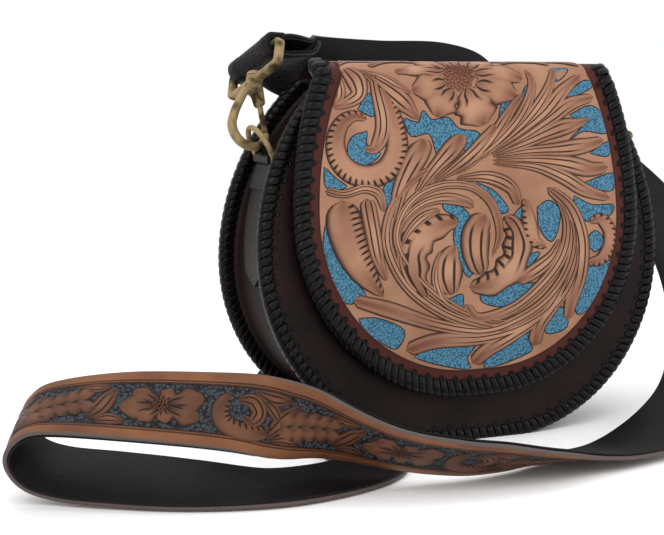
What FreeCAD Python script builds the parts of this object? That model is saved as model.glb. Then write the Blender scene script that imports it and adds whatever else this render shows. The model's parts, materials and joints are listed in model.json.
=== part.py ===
"""Laced saddle handbag with a tooled flap and a clip-on shoulder strap, as a parametric document.

Millimetres. The bag faces -Y, +X is the viewer's right, +Z is up, and the origin is the middle of
the base, on the surface that the bag stands on.
"""
import FreeCAD, Part
import math
import os

import Sketcher
from FreeCAD import Placement, Rotation, Vector

SIZES = {
    # bag body
    "panel_width": 246, "panel_height": 200, "panel_flat": 36, "panel_side_radius": 129,
    "panel_leather": 2.5, "gusset_leather": 2, "flange_height": 8, "base_depth": 86,
    "front_lean": 5.4, "back_lean": 8.2, "base_lift": 0.2,
    "lining_leather": 1, "lining_standoff": 1, "lining_gap": 0.5, "lining_edge_gap": 2.6, "lining_drop": 8,
    # lacing
    "lace_width": 3, "lace_strap": 1, "lace_pitch": 8, "lace_reach": 5.6, "lace_gap": 0.05,
    # flap
    "flap_width": 212, "flap_flat": 16, "flap_bottom": 26, "flap_side_radius": 200,
    "flap_leather": 2.5, "flap_lining_leather": 1.2, "flap_lining_inset": 1, "flap_standoff": 4,
    "flap_bend": 8, "flap_top_gap": 2.5, "glue_line": 0.1, "fold_gap": 0.3, "fold_margin": 5,
    "flap_lace_top": 186, "flap_fold_width": 140,
    # magnetic snap
    "snap_height": 72, "snap_diameter": 18, "snap_socket_depth": 2.4, "snap_stud_depth": 1.2,
    "snap_nub_diameter": 5, "snap_nub_length": 1.2, "snap_hole_diameter": 7, "snap_gap": 0.1,
    "washer_diameter": 16, "washer_depth": 0.8,
    # ring tabs and rings
    "tab_width": 20, "tab_leather": 2, "tab_fold_leather": 1.6, "tab_gap": 0.1, "tab_end_height": 86,
    "tab_fold_height": 155, "tab_overlap": 16, "tab_point": 7, "tab_offset": 3,
    "ring_radius": 12.2, "ring_legs": 6.5, "ring_wire": 3, "ring_clearance": 0.35,
    # snap hooks
    "hook_width": 25.4, "hook_bar": 4.2, "hook_depth": 5, "hook_height": 42, "hook_shoulder": 9,
    "hook_throat_height": 33, "gate_width": 3.6, "gate_depth": 2.4, "gate_gap": 0.35,
    "gate_slot_gap": 0.3, "gate_foot_slant": 1.9,
    "pin_diameter": 2.4, "pin_height": 31, "pin_offset": 4.6, "pin_fit": 0.05,
    "spring_depth": 0.6, "spring_diameter": 4,
    "stem_diameter": 5, "stem_head_diameter": 9, "stem_head_depth": 2, "stem_fit": 0.1, "swivel_play": 0.3,
    "eye_base": 3, "eye_opening": 11, "eye_bar": 4, "eye_depth": 5, "eye_side": 4, "eye_room": 2,
    "ring_seat_height": 11,
    # shoulder strap
    "strap_width": 38, "strap_leather": 2.2, "strap_lining_leather": 1.2, "strap_glue": 0.25,
    "strap_bar_gap": 0.4, "strap_lap": 34,
}

# How each snap hook hangs: the way its stem points, the way the strap bar runs, how far the ring
# leans outwards and where round the ring the hook sits, in degrees from the ring's top to the back.
HOOK_POSES = {
    "left": {"side": -1, "stem": (0.30, 0.48, 0.82), "bar": (-0.23, 0.89, -0.40),
             "ring_lean": 26.0, "ring_point": 36.0},
    "right": {"side": 1, "stem": (0.0, 1.0, 0.0), "bar": (0.65, 0.0, 0.76),
              "ring_lean": 55.0, "ring_point": 60.0},
}

# The strap between its two bars: the middle of its width, and the way across it from the edge that
# lies nearest the viewer in front of the bag to the other edge.
STRAP_ROUTE = [
    ((-64, 43, 204), (0.0, 0.32, -0.95)),
    ((-20, 45, 201), (0.0, 0.0, -1.0)),
    ((25, 47, 200), (0.0, 0.0, -1.0)),
    ((52, 52, 190), (-0.45, 0.0, -0.9)),
    ((62, 64, 162), (-0.8, -0.2, -0.5)),
    ((55, 86, 120), (-0.93, 0.0, 0.35)),
    ((25, 104, 74), (-0.78, 0.0, 0.62)),
    ((-20, 108, 34), (-0.65, 0.25, 0.7)),
    ((-58, 92, 10), (-0.9, 0.42, 0.15)),
    ((-77, 55, 3.2), (-1.0, 0.1, 0.0)),
    ((-79, 0, 3.0), (-1.0, 0.0, 0.0)),
    ((-77, -46, 3.2), (-1.0, 0.05, 0.02)),
    ((-83, -82, 3.9), (-0.8, 0.6, 0.06)),
    ((-109, -103, 4.9), (-0.42, 0.9, 0.1)),
    ((-148, -112, 6.4), (-0.05, 0.98, 0.17)),
    ((-186, -103, 9.2), (0.25, 0.9, 0.34)),
    ((-217, -85, 11), (0.42, 0.8, 0.4)),
    ((-240, -68, 12.5), (0.45, 0.8, 0.4)),
    ((-253, -63, 18), (0.45, 0.8, 0.4)),
    ((-260, -65, 29), (0.45, 0.8, 0.4)),
    ((-258, -73, 40), (0.45, 0.8, 0.4)),
    ((-247, -81, 46), (0.43, 0.78, 0.46)),
    ((-216, -97, 47.5), (0.3, 0.68, 0.67)),
    ((-172, -112, 44), (0.12, 0.5, 0.86)),
    ((-146, -116, 39), (-0.1, -0.05, 0.99)),
    ((-122, -119, 32.5), (-0.2, -0.5, 0.84)),
    ((-93, -129, 23), (-0.3, -0.68, 0.67)),
    ((-67, -134, 17.5), (-0.33, -0.72, 0.61)),
    ((-45, -136, 14.5), (-0.3, -0.78, 0.55)),
    ((-18, -133, 10.8), (-0.12, -0.91, 0.4)),
    ((10, -124, 7.5), (0.1, -0.97, 0.2)),
    ((45, -116, 6), (0.25, -0.96, 0.05)),
    ((85, -103, 13), (0.42, -0.88, -0.2)),
    ((122, -78, 30), (0.6, -0.78, -0.05)),
    ((150, -45, 58), (0.8, -0.6, 0.0)),
    ((165, -8, 90), (0.93, -0.3, 0.12)),
    ((167, 28, 116), (0.9, 0.0, 0.35)),
    ((157, 53, 135), (0.75, 0.1, 0.65)),
    ((140, 62, 149), (0.66, 0.0, 0.75)),
]
STRAP_STEPS = 2
BAR_STRAIGHT = (0, 8, 16)
BAR_TURN_STEPS = 6
LAP_STEPS = 4

doc = FreeCAD.newDocument("saddle_handbag")
sheet = doc.addObject("Spreadsheet::Sheet", "sizes")
for row, (alias, number) in enumerate(SIZES.items(), start=1):
    sheet.set(f"A{row}", alias)
    sheet.set(f"B{row}", str(number))
    sheet.setAlias(f"B{row}", alias)
doc.recompute()


class Size:
    """A length worked out from the sheet: its number, and the same sum as an expression."""

    def __init__(self, number, text):
        self.number = number
        self.text = text

    def __add__(self, other):
        other = size(other)
        return Size(self.number + other.number, f"({self.text} + {other.text})")

    def __sub__(self, other):
        other = size(other)
        return Size(self.number - other.number, f"({self.text} - {other.text})")

    def __mul__(self, other):
        other = size(other)
        return Size(self.number * other.number, f"({self.text} * {other.text})")

    def __truediv__(self, other):
        other = size(other)
        return Size(self.number / other.number, f"({self.text} / {other.text})")

    def __rsub__(self, other):
        return size(other) - self

    def __neg__(self):
        return Size(-self.number, f"(-1 * {self.text})")

    __radd__ = __add__
    __rmul__ = __mul__


def size(value):
    return value if isinstance(value, Size) else Size(float(value), f"{float(value):.6f}")


def root(value):
    return Size(math.sqrt(value.number), f"sqrt({value.text})")


def sine(angle):
    return Size(math.sin(math.radians(angle.number)), f"sin({angle.text} * 1deg)")


def cosine(angle):
    return Size(math.cos(math.radians(angle.number)), f"cos({angle.text} * 1deg)")


def tangent(angle):
    return sine(angle) / cosine(angle)


class Sheet:
    """The sheet's cells by their aliases."""

    def __getattr__(self, alias):
        return Size(float(sheet.get(alias)), f"sizes.{alias}")


cell = Sheet()


def bind(obj, name, value):
    obj.setExpression(name, size(value).text)


def origin_plane(body, role):
    return next(plane for plane in body.Origin.OriginFeatures if plane.Role == role)


# A plane's sketch normal, as a sign along the axis that plates are measured on.
PLANE_SIGN = {"XZ_Plane": -1, "YZ_Plane": 1, "XY_Plane": 1}


def arc_between(start, end, radius):
    """The arc under half a turn from start to end, with its centre on the left for a radius above
    zero and on the right below; says too whether the arc runs backwards from end to start."""
    chord = end - start
    rise = math.sqrt(radius ** 2 - (chord.Length / 2) ** 2)
    left = Vector(-chord.y, chord.x, 0).normalize()
    centre = (start + end) * 0.5 + left * math.copysign(rise, radius)
    first, last = (start, end) if radius > 0 else (end, start)
    angles = [math.atan2(p.y - centre.y, p.x - centre.x) for p in (first, last)]
    circle = Part.Circle(centre, Vector(0, 0, 1), abs(radius))
    return Part.ArcOfCircle(circle, *angles), radius < 0


def draw(body, role, corners, arcs=None, start=0):
    """A closed sketch through the corners, bound to the sheet, a distance start from its plane."""
    arcs = arcs or {}
    sketch = body.newObject("Sketcher::SketchObject", "outline")
    sketch.AttachmentSupport = [(origin_plane(body, role), "")]
    sketch.MapMode = "FlatFace"
    bind(sketch, "AttachmentOffset.Base.z", size(start) * PLANE_SIGN[role])
    corners = [(size(x), size(y)) for x, y in corners]
    points = [Vector(x.number, y.number, 0) for x, y in corners]
    ends = []
    for i, point in enumerate(points):
        after = points[(i + 1) % len(points)]
        backwards = False
        line = Part.LineSegment(point, after)
        if i in arcs:
            line, backwards = arc_between(point, after, size(arcs[i]).number)
        side = sketch.addGeometry(line, False)
        ends.append((side, 2, 1) if backwards else (side, 1, 2))
    for i, (side, first, last) in enumerate(ends):
        following = ends[(i + 1) % len(ends)]
        sketch.addConstraint(Sketcher.Constraint("Coincident", side, last, following[0], following[1]))
    for i, (side, first, last) in enumerate(ends):
        for way, value in zip(("DistanceX", "DistanceY"), corners[i]):
            index = sketch.addConstraint(Sketcher.Constraint(way, side, first, value.number))
            bind(sketch, f"Constraints[{index}]", value)
        if i in arcs:
            radius = size(arcs[i])
            radius = -radius if radius.number < 0 else radius
            index = sketch.addConstraint(Sketcher.Constraint("Radius", side, radius.number))
            bind(sketch, f"Constraints[{index}]", radius)
    return sketch


def draw_circle(body, role, x, y, diameter, start=0):
    sketch = body.newObject("Sketcher::SketchObject", "circle")
    sketch.AttachmentSupport = [(origin_plane(body, role), "")]
    sketch.MapMode = "FlatFace"
    bind(sketch, "AttachmentOffset.Base.z", size(start) * PLANE_SIGN[role])
    x, y, diameter = size(x), size(y), size(diameter)
    circle = Part.Circle(Vector(x.number, y.number, 0), Vector(0, 0, 1), diameter.number / 2)
    sketch.addGeometry(circle, False)
    for way, value in (("DistanceX", x), ("DistanceY", y)):
        index = sketch.addConstraint(Sketcher.Constraint(way, 0, 3, value.number))
        bind(sketch, f"Constraints[{index}]", value)
    index = sketch.addConstraint(Sketcher.Constraint("Diameter", 0, diameter.number))
    bind(sketch, f"Constraints[{index}]", diameter)
    return sketch


def new_body(name):
    return doc.addObject("PartDesign::Body", name)


def pad(body, sketch, role, depth, both_ways=False):
    """Thicken a sketch along the positive axis of its plane, or half each way."""
    feature = body.newObject("PartDesign::Pad", "pad")
    feature.Profile = sketch
    bind(feature, "Length", depth)
    if both_ways:
        feature.SideType = "Symmetric"
    else:
        feature.Reversed = PLANE_SIGN[role] < 0
    return feature


def pocket(body, sketch, depth=None):
    """Cut a sketch right through both ways, or by a depth shared between both sides of its plane."""
    feature = body.newObject("PartDesign::Pocket", "pocket")
    feature.Profile = sketch
    feature.SideType = "Symmetric"
    if depth is None:
        feature.Type = "ThroughAll"
    else:
        bind(feature, "Length", depth)
    return feature


def boolean(kind, label, base, tool):
    result = doc.addObject(f"Part::{kind}", label)
    result.Base = base
    result.Tool = tool
    return result


def fuse(label, pieces):
    result = doc.addObject("Part::MultiFuse", label)
    result.Shapes = pieces
    return result


def solid(label, shape, placement=None):
    """A piece whose shape is worked out here from the sheet's numbers."""
    piece = doc.addObject("Part::Feature", label)
    piece.Shape = shape
    if placement:
        piece.Placement = placement
    return piece


nodes = {}


def keep(name, obj):
    """Name a finished piece: the label names its file."""
    obj.Label = name
    nodes[name] = obj
    return obj


# The leaning planes of the front and the back. Each is a frame of its own, with height measured up
# the plane and depth into the bag along the plane's normal.
half_depth = cell.base_depth / 2
LEANS = {"front": (-1, cell.front_lean), "back": (1, cell.back_lean)}


def lean(obj, face):
    """Stand an object drawn upright on the front's or the back's leaning plane."""
    side, angle = LEANS[face]
    obj.Placement = Placement(Vector(0, side * half_depth.number, cell.base_lift.number),
                              Rotation(Vector(side, 0, 0), angle.number))
    bind(obj, "Placement.Base.y", half_depth * side)
    bind(obj, "Placement.Base.z", cell.base_lift)
    obj.setExpression("Placement.Rotation.Angle", f"{angle.text} * 1deg")


def into_bag(face, depth, thickness):
    """Where a plate starts along Y in its leaning frame, to lie that deep inside the face."""
    return size(depth) if face == "front" else -(size(depth) + thickness)


class Outline:
    """A saddle shape: a flat bottom, two round lower corners and two sides that draw in to the top."""

    def __init__(self, half_width, half_flat, bottom, side_radius, top):
        self.half_width = half_width
        self.half_flat = half_flat
        self.bottom = bottom
        self.low_radius = half_width - half_flat
        self.side_radius = side_radius
        self.waist = bottom + self.low_radius
        self.top = top

    def half_top(self, inset, top):
        rise = top - self.waist
        reach = self.side_radius - inset
        return self.half_width - self.side_radius + root(reach * reach - rise * rise)

    def corners(self, inset=0, top=None, above=None):
        """Corner points anticlockwise from the bottom left, and the arcs between them."""
        inset = size(inset)
        top = top or self.top
        wide = self.half_width - inset
        narrow = self.half_top(inset, top)
        low = self.bottom + inset
        points = [(-self.half_flat, low), (self.half_flat, low), (wide, self.waist), (narrow, top)]
        arcs = {1: self.low_radius - inset, 2: self.side_radius - inset}
        if above:
            points += [(narrow, top + above), (-narrow, top + above)]
        points += [(-narrow, top), (-wide, self.waist)]
        arcs[len(points) - 2] = self.side_radius - inset
        arcs[len(points) - 1] = self.low_radius - inset
        return points, arcs

    def edge(self, top):
        """The open edge from the top left round the bottom to the top right, as a wire."""
        points, arcs = self.corners(top=top)
        spots = [Vector(x.number, 0, y.number) for x, y in points]
        order = [4, 5, 0, 1, 2, 3]
        sides = []
        for here, there in zip(order, order[1:]):
            if here in arcs:
                flat = [Vector(spots[i].x, spots[i].z, 0) for i in (here, there)]
                arc, _ = arc_between(*flat, arcs[here].number)
                middle = arc.value((arc.FirstParameter + arc.LastParameter) / 2)
                curve = Part.Arc(spots[here], Vector(middle.x, 0, middle.y), spots[there])
                sides.append(curve.toShape())
            else:
                sides.append(Part.LineSegment(spots[here], spots[there]).toShape())
        return Part.Wire(sides)


bag_outline = Outline(cell.panel_width / 2, cell.panel_flat / 2, size(0),
                      cell.panel_side_radius, cell.panel_height)
flap_outline = Outline(cell.flap_width / 2, cell.flap_flat / 2, cell.flap_bottom,
                       cell.flap_side_radius, cell.panel_height)
OPEN_TOP = 12
SPARE = 20


def plate(name, outline, start, thickness, inset=0, top=None):
    body = new_body(name)
    points, arcs = outline.corners(inset, top)
    pad(body, draw(body, "XZ_Plane", points, arcs, start), "XZ_Plane", thickness)
    return body


def open_ring(name, start, thickness, inset, wall, top=None):
    """A band along the bag's outline, a wall thick, open at the top."""
    top = top or cell.panel_height
    body = plate(name, bag_outline, start, thickness, inset, top)
    points, arcs = bag_outline.corners(inset + wall, top + OPEN_TOP)
    pocket(body, draw(body, "XZ_Plane", points, arcs))
    return body


def box(label, low, high):
    """A plain block between two corners."""
    block = doc.addObject("Part::Box", label)
    low = [size(v) for v in low]
    high = [size(v) for v in high]
    for name, a, b in zip(("Length", "Width", "Height"), low, high):
        bind(block, name, b - a)
    for name, a in zip("xyz", low):
        bind(block, f"Placement.Base.{name}", a)
    return block


seam_stack = cell.panel_leather + cell.gusset_leather


def stitch_places(outline, top):
    """The middle of each lace stitch along an edge, the way along it and the way out of it."""
    wire = outline.edge(top)
    count = round(wire.Length / cell.lace_pitch.number)
    spots = wire.discretize(Number=2 * count + 1)
    for i in range(count):
        along = (spots[2 * i + 2] - spots[2 * i]).normalize()
        yield spots[2 * i + 1], along, Vector(along.z, 0, -along.x)


def stitch(spot, along, out, low, high):
    """One turn of lace round a leather edge between the depths low and high: a square staple."""
    strap, gap, wide = cell.lace_strap.number, cell.lace_gap.number, cell.lace_width.number
    reach = cell.lace_reach.number
    turn = Placement(spot, Rotation(along * -1, Vector(0, 1, 0), out, "XYZ"))
    outer = Part.makeBox(wide, high - low + 2 * (gap + strap), reach + gap + strap,
                         Vector(-wide / 2, low - gap - strap, -reach))
    inner = Part.makeBox(wide, high - low + 2 * gap, reach + gap, Vector(-wide / 2, low - gap, -reach))
    loop = outer.cut(inner)
    loop.Placement = turn
    return loop


def lacing(name, outline, top, low, high, face, on_floor):
    """The stitches along an edge, and the notches that let those on the floor lie flush."""
    strap, gap, wide = cell.lace_strap.number, cell.lace_gap.number, cell.lace_width.number
    loops = []
    notches = []
    for spot, along, out in stitch_places(outline, top):
        if on_floor and spot.z < strap + gap and abs(spot.x) < outline.half_width.number / 2:
            notches.append(Part.makeBox(wide + 2 * gap, high - low, 2 * strap + 2 * gap,
                                        Vector(spot.x - wide / 2 - gap, low, -strap)))
            spot = Vector(spot.x, 0, strap + gap)
            along, out = Vector(1, 0, 0), Vector(0, 0, -1)
        loops.append(stitch(spot, along, out, low, high))
    pieces = [solid(f"{name}_loops", Part.makeCompound(loops))]
    if notches:
        pieces.append(solid(f"{name}_notches", Part.makeCompound(notches)))
    for piece in pieces:
        lean(piece, face)
    return pieces


floor = box("floor", (-cell.panel_width, -cell.base_depth, -SPARE), (cell.panel_width, cell.base_depth, 0))
stitching = {}
for face in ("front", "back"):
    deep = [0, seam_stack.number] if face == "front" else [-seam_stack.number, 0]
    loops, notches = lacing(f"{face}_seam", bag_outline, cell.panel_height, *deep, face, True)
    stitching[face] = notches
    keep(f"{face}_seam_lacing", boolean("Cut", f"{face}_lacing_on_floor", loops, floor))

# The back panel carries the flap's fold on its top edge.
flap_inside = cell.panel_height + cell.flap_top_gap
fold_thickness = cell.flap_leather
fold_height = flap_inside + cell.flap_lining_leather + cell.glue_line + fold_thickness / 2
back_top = fold_height - fold_thickness / 2 - cell.fold_gap
back_height = (back_top - cell.base_lift) / cosine(cell.back_lean)
fold_depth = (half_depth - (back_top - cell.base_lift) * tangent(cell.back_lean)
              - cell.panel_leather / 2)


def panel(face, height):
    start = into_bag(face, 0, cell.panel_leather)
    blank = plate(f"{face}_blank", bag_outline, start, cell.panel_leather, 0, height)
    lean(blank, face)
    notched = boolean("Cut", f"{face}_notched", blank, stitching[face])
    return keep(f"{face}_panel", boolean("Cut", f"{face}_on_floor", notched, floor))


panel("front", cell.panel_height)
panel("back", back_height)


def between_planes(name, front_in, back_in):
    """A wedge across the bag between two planes parallel to the front and the back."""
    body = new_body(name)
    low, high = size(-SPARE), cell.panel_height + SPARE
    corners = []
    for face, depth, order in (("front", front_in, (high, low)), ("back", back_in, (low, high))):
        side, angle = LEANS[face]
        for height in order:
            inward = (height - cell.base_lift) * tangent(angle) + depth / cosine(angle)
            corners.append(((half_depth - inward) * side, height))
    pad(body, draw(body, "YZ_Plane", corners), "YZ_Plane", cell.panel_width * 2, both_ways=True)
    return body


def cross_ring(name, inset, wall, front_in, back_in, top):
    """A band along the outline right across the bag, trimmed between two leaning planes."""
    across = cell.base_depth * 2
    body = open_ring(f"{name}_band", -cell.base_depth, across, inset, wall, top)
    bind(body, "Placement.Base.z", cell.base_lift)
    return boolean("Common", name, body, between_planes(f"{name}_wedge", front_in, back_in))


flange_middle = cell.panel_leather + cell.gusset_leather / 2
web = cross_ring("gusset_web", cell.flange_height, cell.gusset_leather, flange_middle, flange_middle,
                 cell.panel_height)
flanges = []
for face in ("front", "back"):
    start = into_bag(face, cell.panel_leather, cell.gusset_leather)
    flange = open_ring(f"{face}_flange", start, cell.gusset_leather, size(0),
                       cell.flange_height + cell.gusset_leather)
    lean(flange, face)
    flanges.append(boolean("Cut", f"{face}_flange_notched", flange, stitching[face]))
gusset = fuse("gusset_blank", [web] + flanges)
keep("gusset", boolean("Cut", "gusset_on_floor", gusset, floor))

# Linings: a plate behind each panel and a band inside the gusset.
lining_inset = cell.flange_height + cell.gusset_leather + cell.lining_edge_gap
lining_top = cell.panel_height - cell.lining_drop
lining_depth = cell.panel_leather + cell.lining_standoff
for face in ("front", "back"):
    start = into_bag(face, lining_depth, cell.lining_leather)
    sheet_lining = plate(f"{face}_lining_plate", bag_outline, start, cell.lining_leather, lining_inset,
                         lining_top)
    lean(sheet_lining, face)
    keep(f"{face}_lining", sheet_lining)
inner_depth = lining_depth + cell.lining_leather + cell.lining_gap
keep("gusset_lining", cross_ring("gusset_lining_common", cell.flange_height + cell.gusset_leather
                                 + cell.glue_line, cell.lining_leather, inner_depth, inner_depth,
                                 lining_top))


def flap_layer(name, near, far, inset, rear):
    """A layer of the flap between two distances out from its inside face: a strip bent from the
    fold over the top and down the front, trimmed to the flap's outline and drawn in to the fold."""
    angle = cell.front_lean
    bend_height = flap_inside - cell.flap_bend
    bend_depth = ((bend_height - cell.base_lift) * tangent(angle) - half_depth
                  - (cell.flap_standoff - cell.flap_bend) / cosine(angle))
    low = cell.flap_bottom / 2

    def stations(out):
        radius = cell.flap_bend + out
        foot = ((low - cell.base_lift) * tangent(angle) - half_depth
                - (cell.flap_standoff + out) / cosine(angle))
        return [(foot, low),
                (bend_depth - radius * cosine(angle), bend_height + radius * sine(angle)),
                (bend_depth, bend_height + radius), (rear, flap_inside + out)], radius

    inner, inner_radius = stations(near)
    outer, outer_radius = stations(far)
    half = (far - near) / 2
    tail = [(rear + half, flap_inside + near + half)]
    corners = inner + tail + outer[::-1]
    arcs = {1: -inner_radius, 3: half, 4: half, 6: outer_radius}
    body = new_body(f"{name}_strip")
    pad(body, draw(body, "YZ_Plane", corners, arcs), "YZ_Plane", cell.flap_width * 2, both_ways=True)
    trim = new_body(f"{name}_trim")
    points, arcs = flap_outline.corners(inset, above=size(3 * SPARE))
    pad(trim, draw(trim, "XZ_Plane", points, arcs, -cell.base_depth), "XZ_Plane", cell.base_depth * 2)
    lean(trim, "front")
    wide = cell.flap_width
    top_half = flap_outline.half_top(inset, flap_outline.top)
    fold_half = cell.flap_fold_width / 2 - inset
    right_side = [(wide, -cell.base_depth), (wide, bend_depth), (top_half, bend_depth), (fold_half, rear),
                  (fold_half, rear + SPARE)]
    left_side = [(-x, y) for x, y in right_side[::-1]]
    plan = new_body(f"{name}_plan")
    pad(plan, draw(plan, "XY_Plane", right_side + left_side), "XY_Plane", flap_inside * 2)
    trimmed = boolean("Common", f"{name}_common", body, trim)
    return keep(name, boolean("Common", f"{name}_drawn_in", trimmed, plan))


flap_near = cell.flap_lining_leather + cell.glue_line
flap_far = flap_near + cell.flap_leather
flap_layer("flap_outer", flap_near, flap_far, size(0), fold_depth)
flap_layer("flap_lining", size(0), cell.flap_lining_leather, cell.flap_lining_inset,
           fold_depth - cell.fold_margin)
flap_loops, = lacing("flap_edge", flap_outline, cell.flap_lace_top,
                     -(cell.flap_standoff + flap_far).number, -cell.flap_standoff.number, "front", False)
keep("flap_lacing", flap_loops)


def disc(name, diameter, start, depth, hole=None, nub=None):
    """A round snap piece on the front's leaning plane; start and depth run into the bag."""
    body = new_body(f"{name}_body")
    place = (size(0), cell.snap_height)
    pad(body, draw_circle(body, "XZ_Plane", *place, diameter, start), "XZ_Plane", depth)
    if nub:
        pad(body, draw_circle(body, "XZ_Plane", *place, nub[0], start), "XZ_Plane", depth + nub[1])
    if hole:
        pocket(body, draw_circle(body, "XZ_Plane", *place, hole))
    lean(body, "front")
    return keep(name, body)


disc("snap_socket", cell.snap_diameter, -cell.snap_socket_depth - cell.snap_gap, cell.snap_socket_depth,
     hole=cell.snap_hole_diameter)
disc("snap_washer", cell.washer_diameter, cell.panel_leather + cell.snap_gap, cell.washer_depth)
disc("snap_stud", cell.snap_diameter, -cell.flap_standoff + cell.snap_gap, cell.snap_stud_depth,
     nub=(cell.snap_nub_diameter, cell.snap_nub_length))


# The ring tabs lie on the gusset's sides and fold round the rings' wire.
web_low = bag_outline.low_radius - cell.flange_height
web_high = bag_outline.side_radius - cell.flange_height


def on_web(height, out):
    """The gusset side's distance from the middle of the bag at a height, that far out of its face."""
    rise = height - bag_outline.waist
    if rise.number < 0:
        reach = web_low + out
        return bag_outline.half_flat + root(reach * reach - rise * rise)
    reach = web_high + out
    return bag_outline.half_width - bag_outline.side_radius + root(reach * reach - rise * rise)


tunnel = cell.ring_wire / 2 + cell.ring_clearance
fold_radius = tunnel + cell.tab_fold_leather
fold_place = (on_web(cell.tab_fold_height, cell.tab_gap + fold_radius), cell.tab_fold_height)


def ring_tab(name, side):
    body = new_body(f"{name}_body")
    inside, outside = cell.tab_gap, cell.tab_gap + cell.tab_leather
    turned = outside + cell.tab_fold_leather
    low, waist, high = cell.tab_end_height, bag_outline.waist, cell.tab_fold_height

    def band(heights, near, far):
        up = [(on_web(height, far) * side, height) for height in heights]
        down = [(on_web(height, near) * side, height) for height in reversed(heights)]
        arcs = {}
        for i in range(len(heights) - 1):
            middle = (heights[i].number + heights[i + 1].number) / 2
            radius = web_low if middle < waist.number else web_high
            arcs[i] = (radius + far) * side
            arcs[2 * len(heights) - 2 - i] = -(radius + near) * side
        pad(body, draw(body, "XZ_Plane", up + down, arcs), "XZ_Plane", cell.tab_width, both_ways=True)

    band([low, waist, high], inside, outside)
    band([high - cell.tab_overlap, high], outside - cell.glue_line, turned)
    place = (fold_place[0] * side, fold_place[1])
    pad(body, draw_circle(body, "XZ_Plane", *place, fold_radius * 2), "XZ_Plane", cell.tab_width,
        both_ways=True)
    pocket(body, draw_circle(body, "XZ_Plane", *place, tunnel * 2))
    half = cell.tab_width / 2 + 1
    point = low + cell.tab_point * (half / (cell.tab_width / 2))
    pocket(body, draw(body, "YZ_Plane", [(-half, low - SPARE), (half, low - SPARE), (half, point),
                                         (0, low), (-half, point)]))
    bind(body, "Placement.Base.y", -cell.tab_offset)
    bind(body, "Placement.Base.z", cell.base_lift)
    return keep(name, body)


def unit(*parts):
    return Vector(*parts).normalize()


class Hardware:
    """One ring and snap hook: where the ring sits and the frame that the hook is drawn in, with
    +Z along its stem and +Y along its strap bar."""

    def __init__(self, pose):
        self.side = pose["side"]
        fold = Vector(self.side * fold_place[0].number, -cell.tab_offset.number,
                      fold_place[1].number + cell.base_lift.number)
        tilt = math.radians(pose["ring_lean"])
        up = Vector(self.side * math.sin(tilt), 0, math.cos(tilt))
        self.fold = fold
        self.ring_turn = Rotation(Vector(0, 1, 0), up, Vector(0, 1, 0).cross(up), "XYZ")
        angle = math.radians(pose["ring_point"])
        arch = up * math.cos(angle) + Vector(0, math.sin(angle), 0)
        self.ring_point = fold + up * cell.ring_legs.number + arch * cell.ring_radius.number
        self.stem = unit(*pose["stem"])
        bar = unit(*pose["bar"])
        self.bar = (bar - self.stem * bar.dot(self.stem)).normalize()
        turn = Rotation(self.bar.cross(self.stem), self.bar, self.stem, "XYZ")
        self.frame = Placement(self.ring_point - self.stem * cell.ring_seat_height.number, turn)
        self.bar_centre = self.frame.multVec(Vector(0, 0, bar_height.number))


eye_foot = cell.hook_height + cell.swivel_play
bar_height = eye_foot + cell.eye_base + cell.eye_opening + cell.eye_bar / 2


def d_ring(name, hardware):
    """A wire D: a straight bar for the tab's fold, two short legs and a round arch."""
    radius, legs, wire = cell.ring_radius, cell.ring_legs, cell.ring_wire / 2
    arch = doc.addObject("Part::Torus", f"{name}_arch")
    bind(arch, "Radius1", radius)
    bind(arch, "Radius2", wire)
    arch.Angle3 = 180
    bind(arch, "Placement.Base.y", legs)
    bar = doc.addObject("Part::Cylinder", f"{name}_bar")
    bind(bar, "Radius", wire)
    bind(bar, "Height", radius * 2)
    bar.Placement = Placement(Vector(), Rotation(Vector(0, 1, 0), 90))
    bind(bar, "Placement.Base.x", -radius)
    pieces = [arch, bar]
    for side in (-1, 1):
        leg = doc.addObject("Part::Cylinder", f"{name}_leg")
        bind(leg, "Radius", wire)
        bind(leg, "Height", legs)
        leg.Placement = Placement(Vector(), Rotation(Vector(1, 0, 0), -90))
        bind(leg, "Placement.Base.x", radius * side)
        corner = doc.addObject("Part::Sphere", f"{name}_corner")
        bind(corner, "Radius", wire)
        bind(corner, "Placement.Base.x", radius * side)
        pieces += [leg, corner]
    ring = fuse(f"{name}_wire", pieces)
    ring.Placement = Placement(hardware.fold, hardware.ring_turn)
    return keep(name, ring)


# The hook: a round bottom, two bars that draw in to the shoulder, and a gap on one side for the gate.
hook_half = cell.hook_width / 2
hook_throat = hook_half - cell.hook_bar
hook_middle = hook_half


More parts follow.
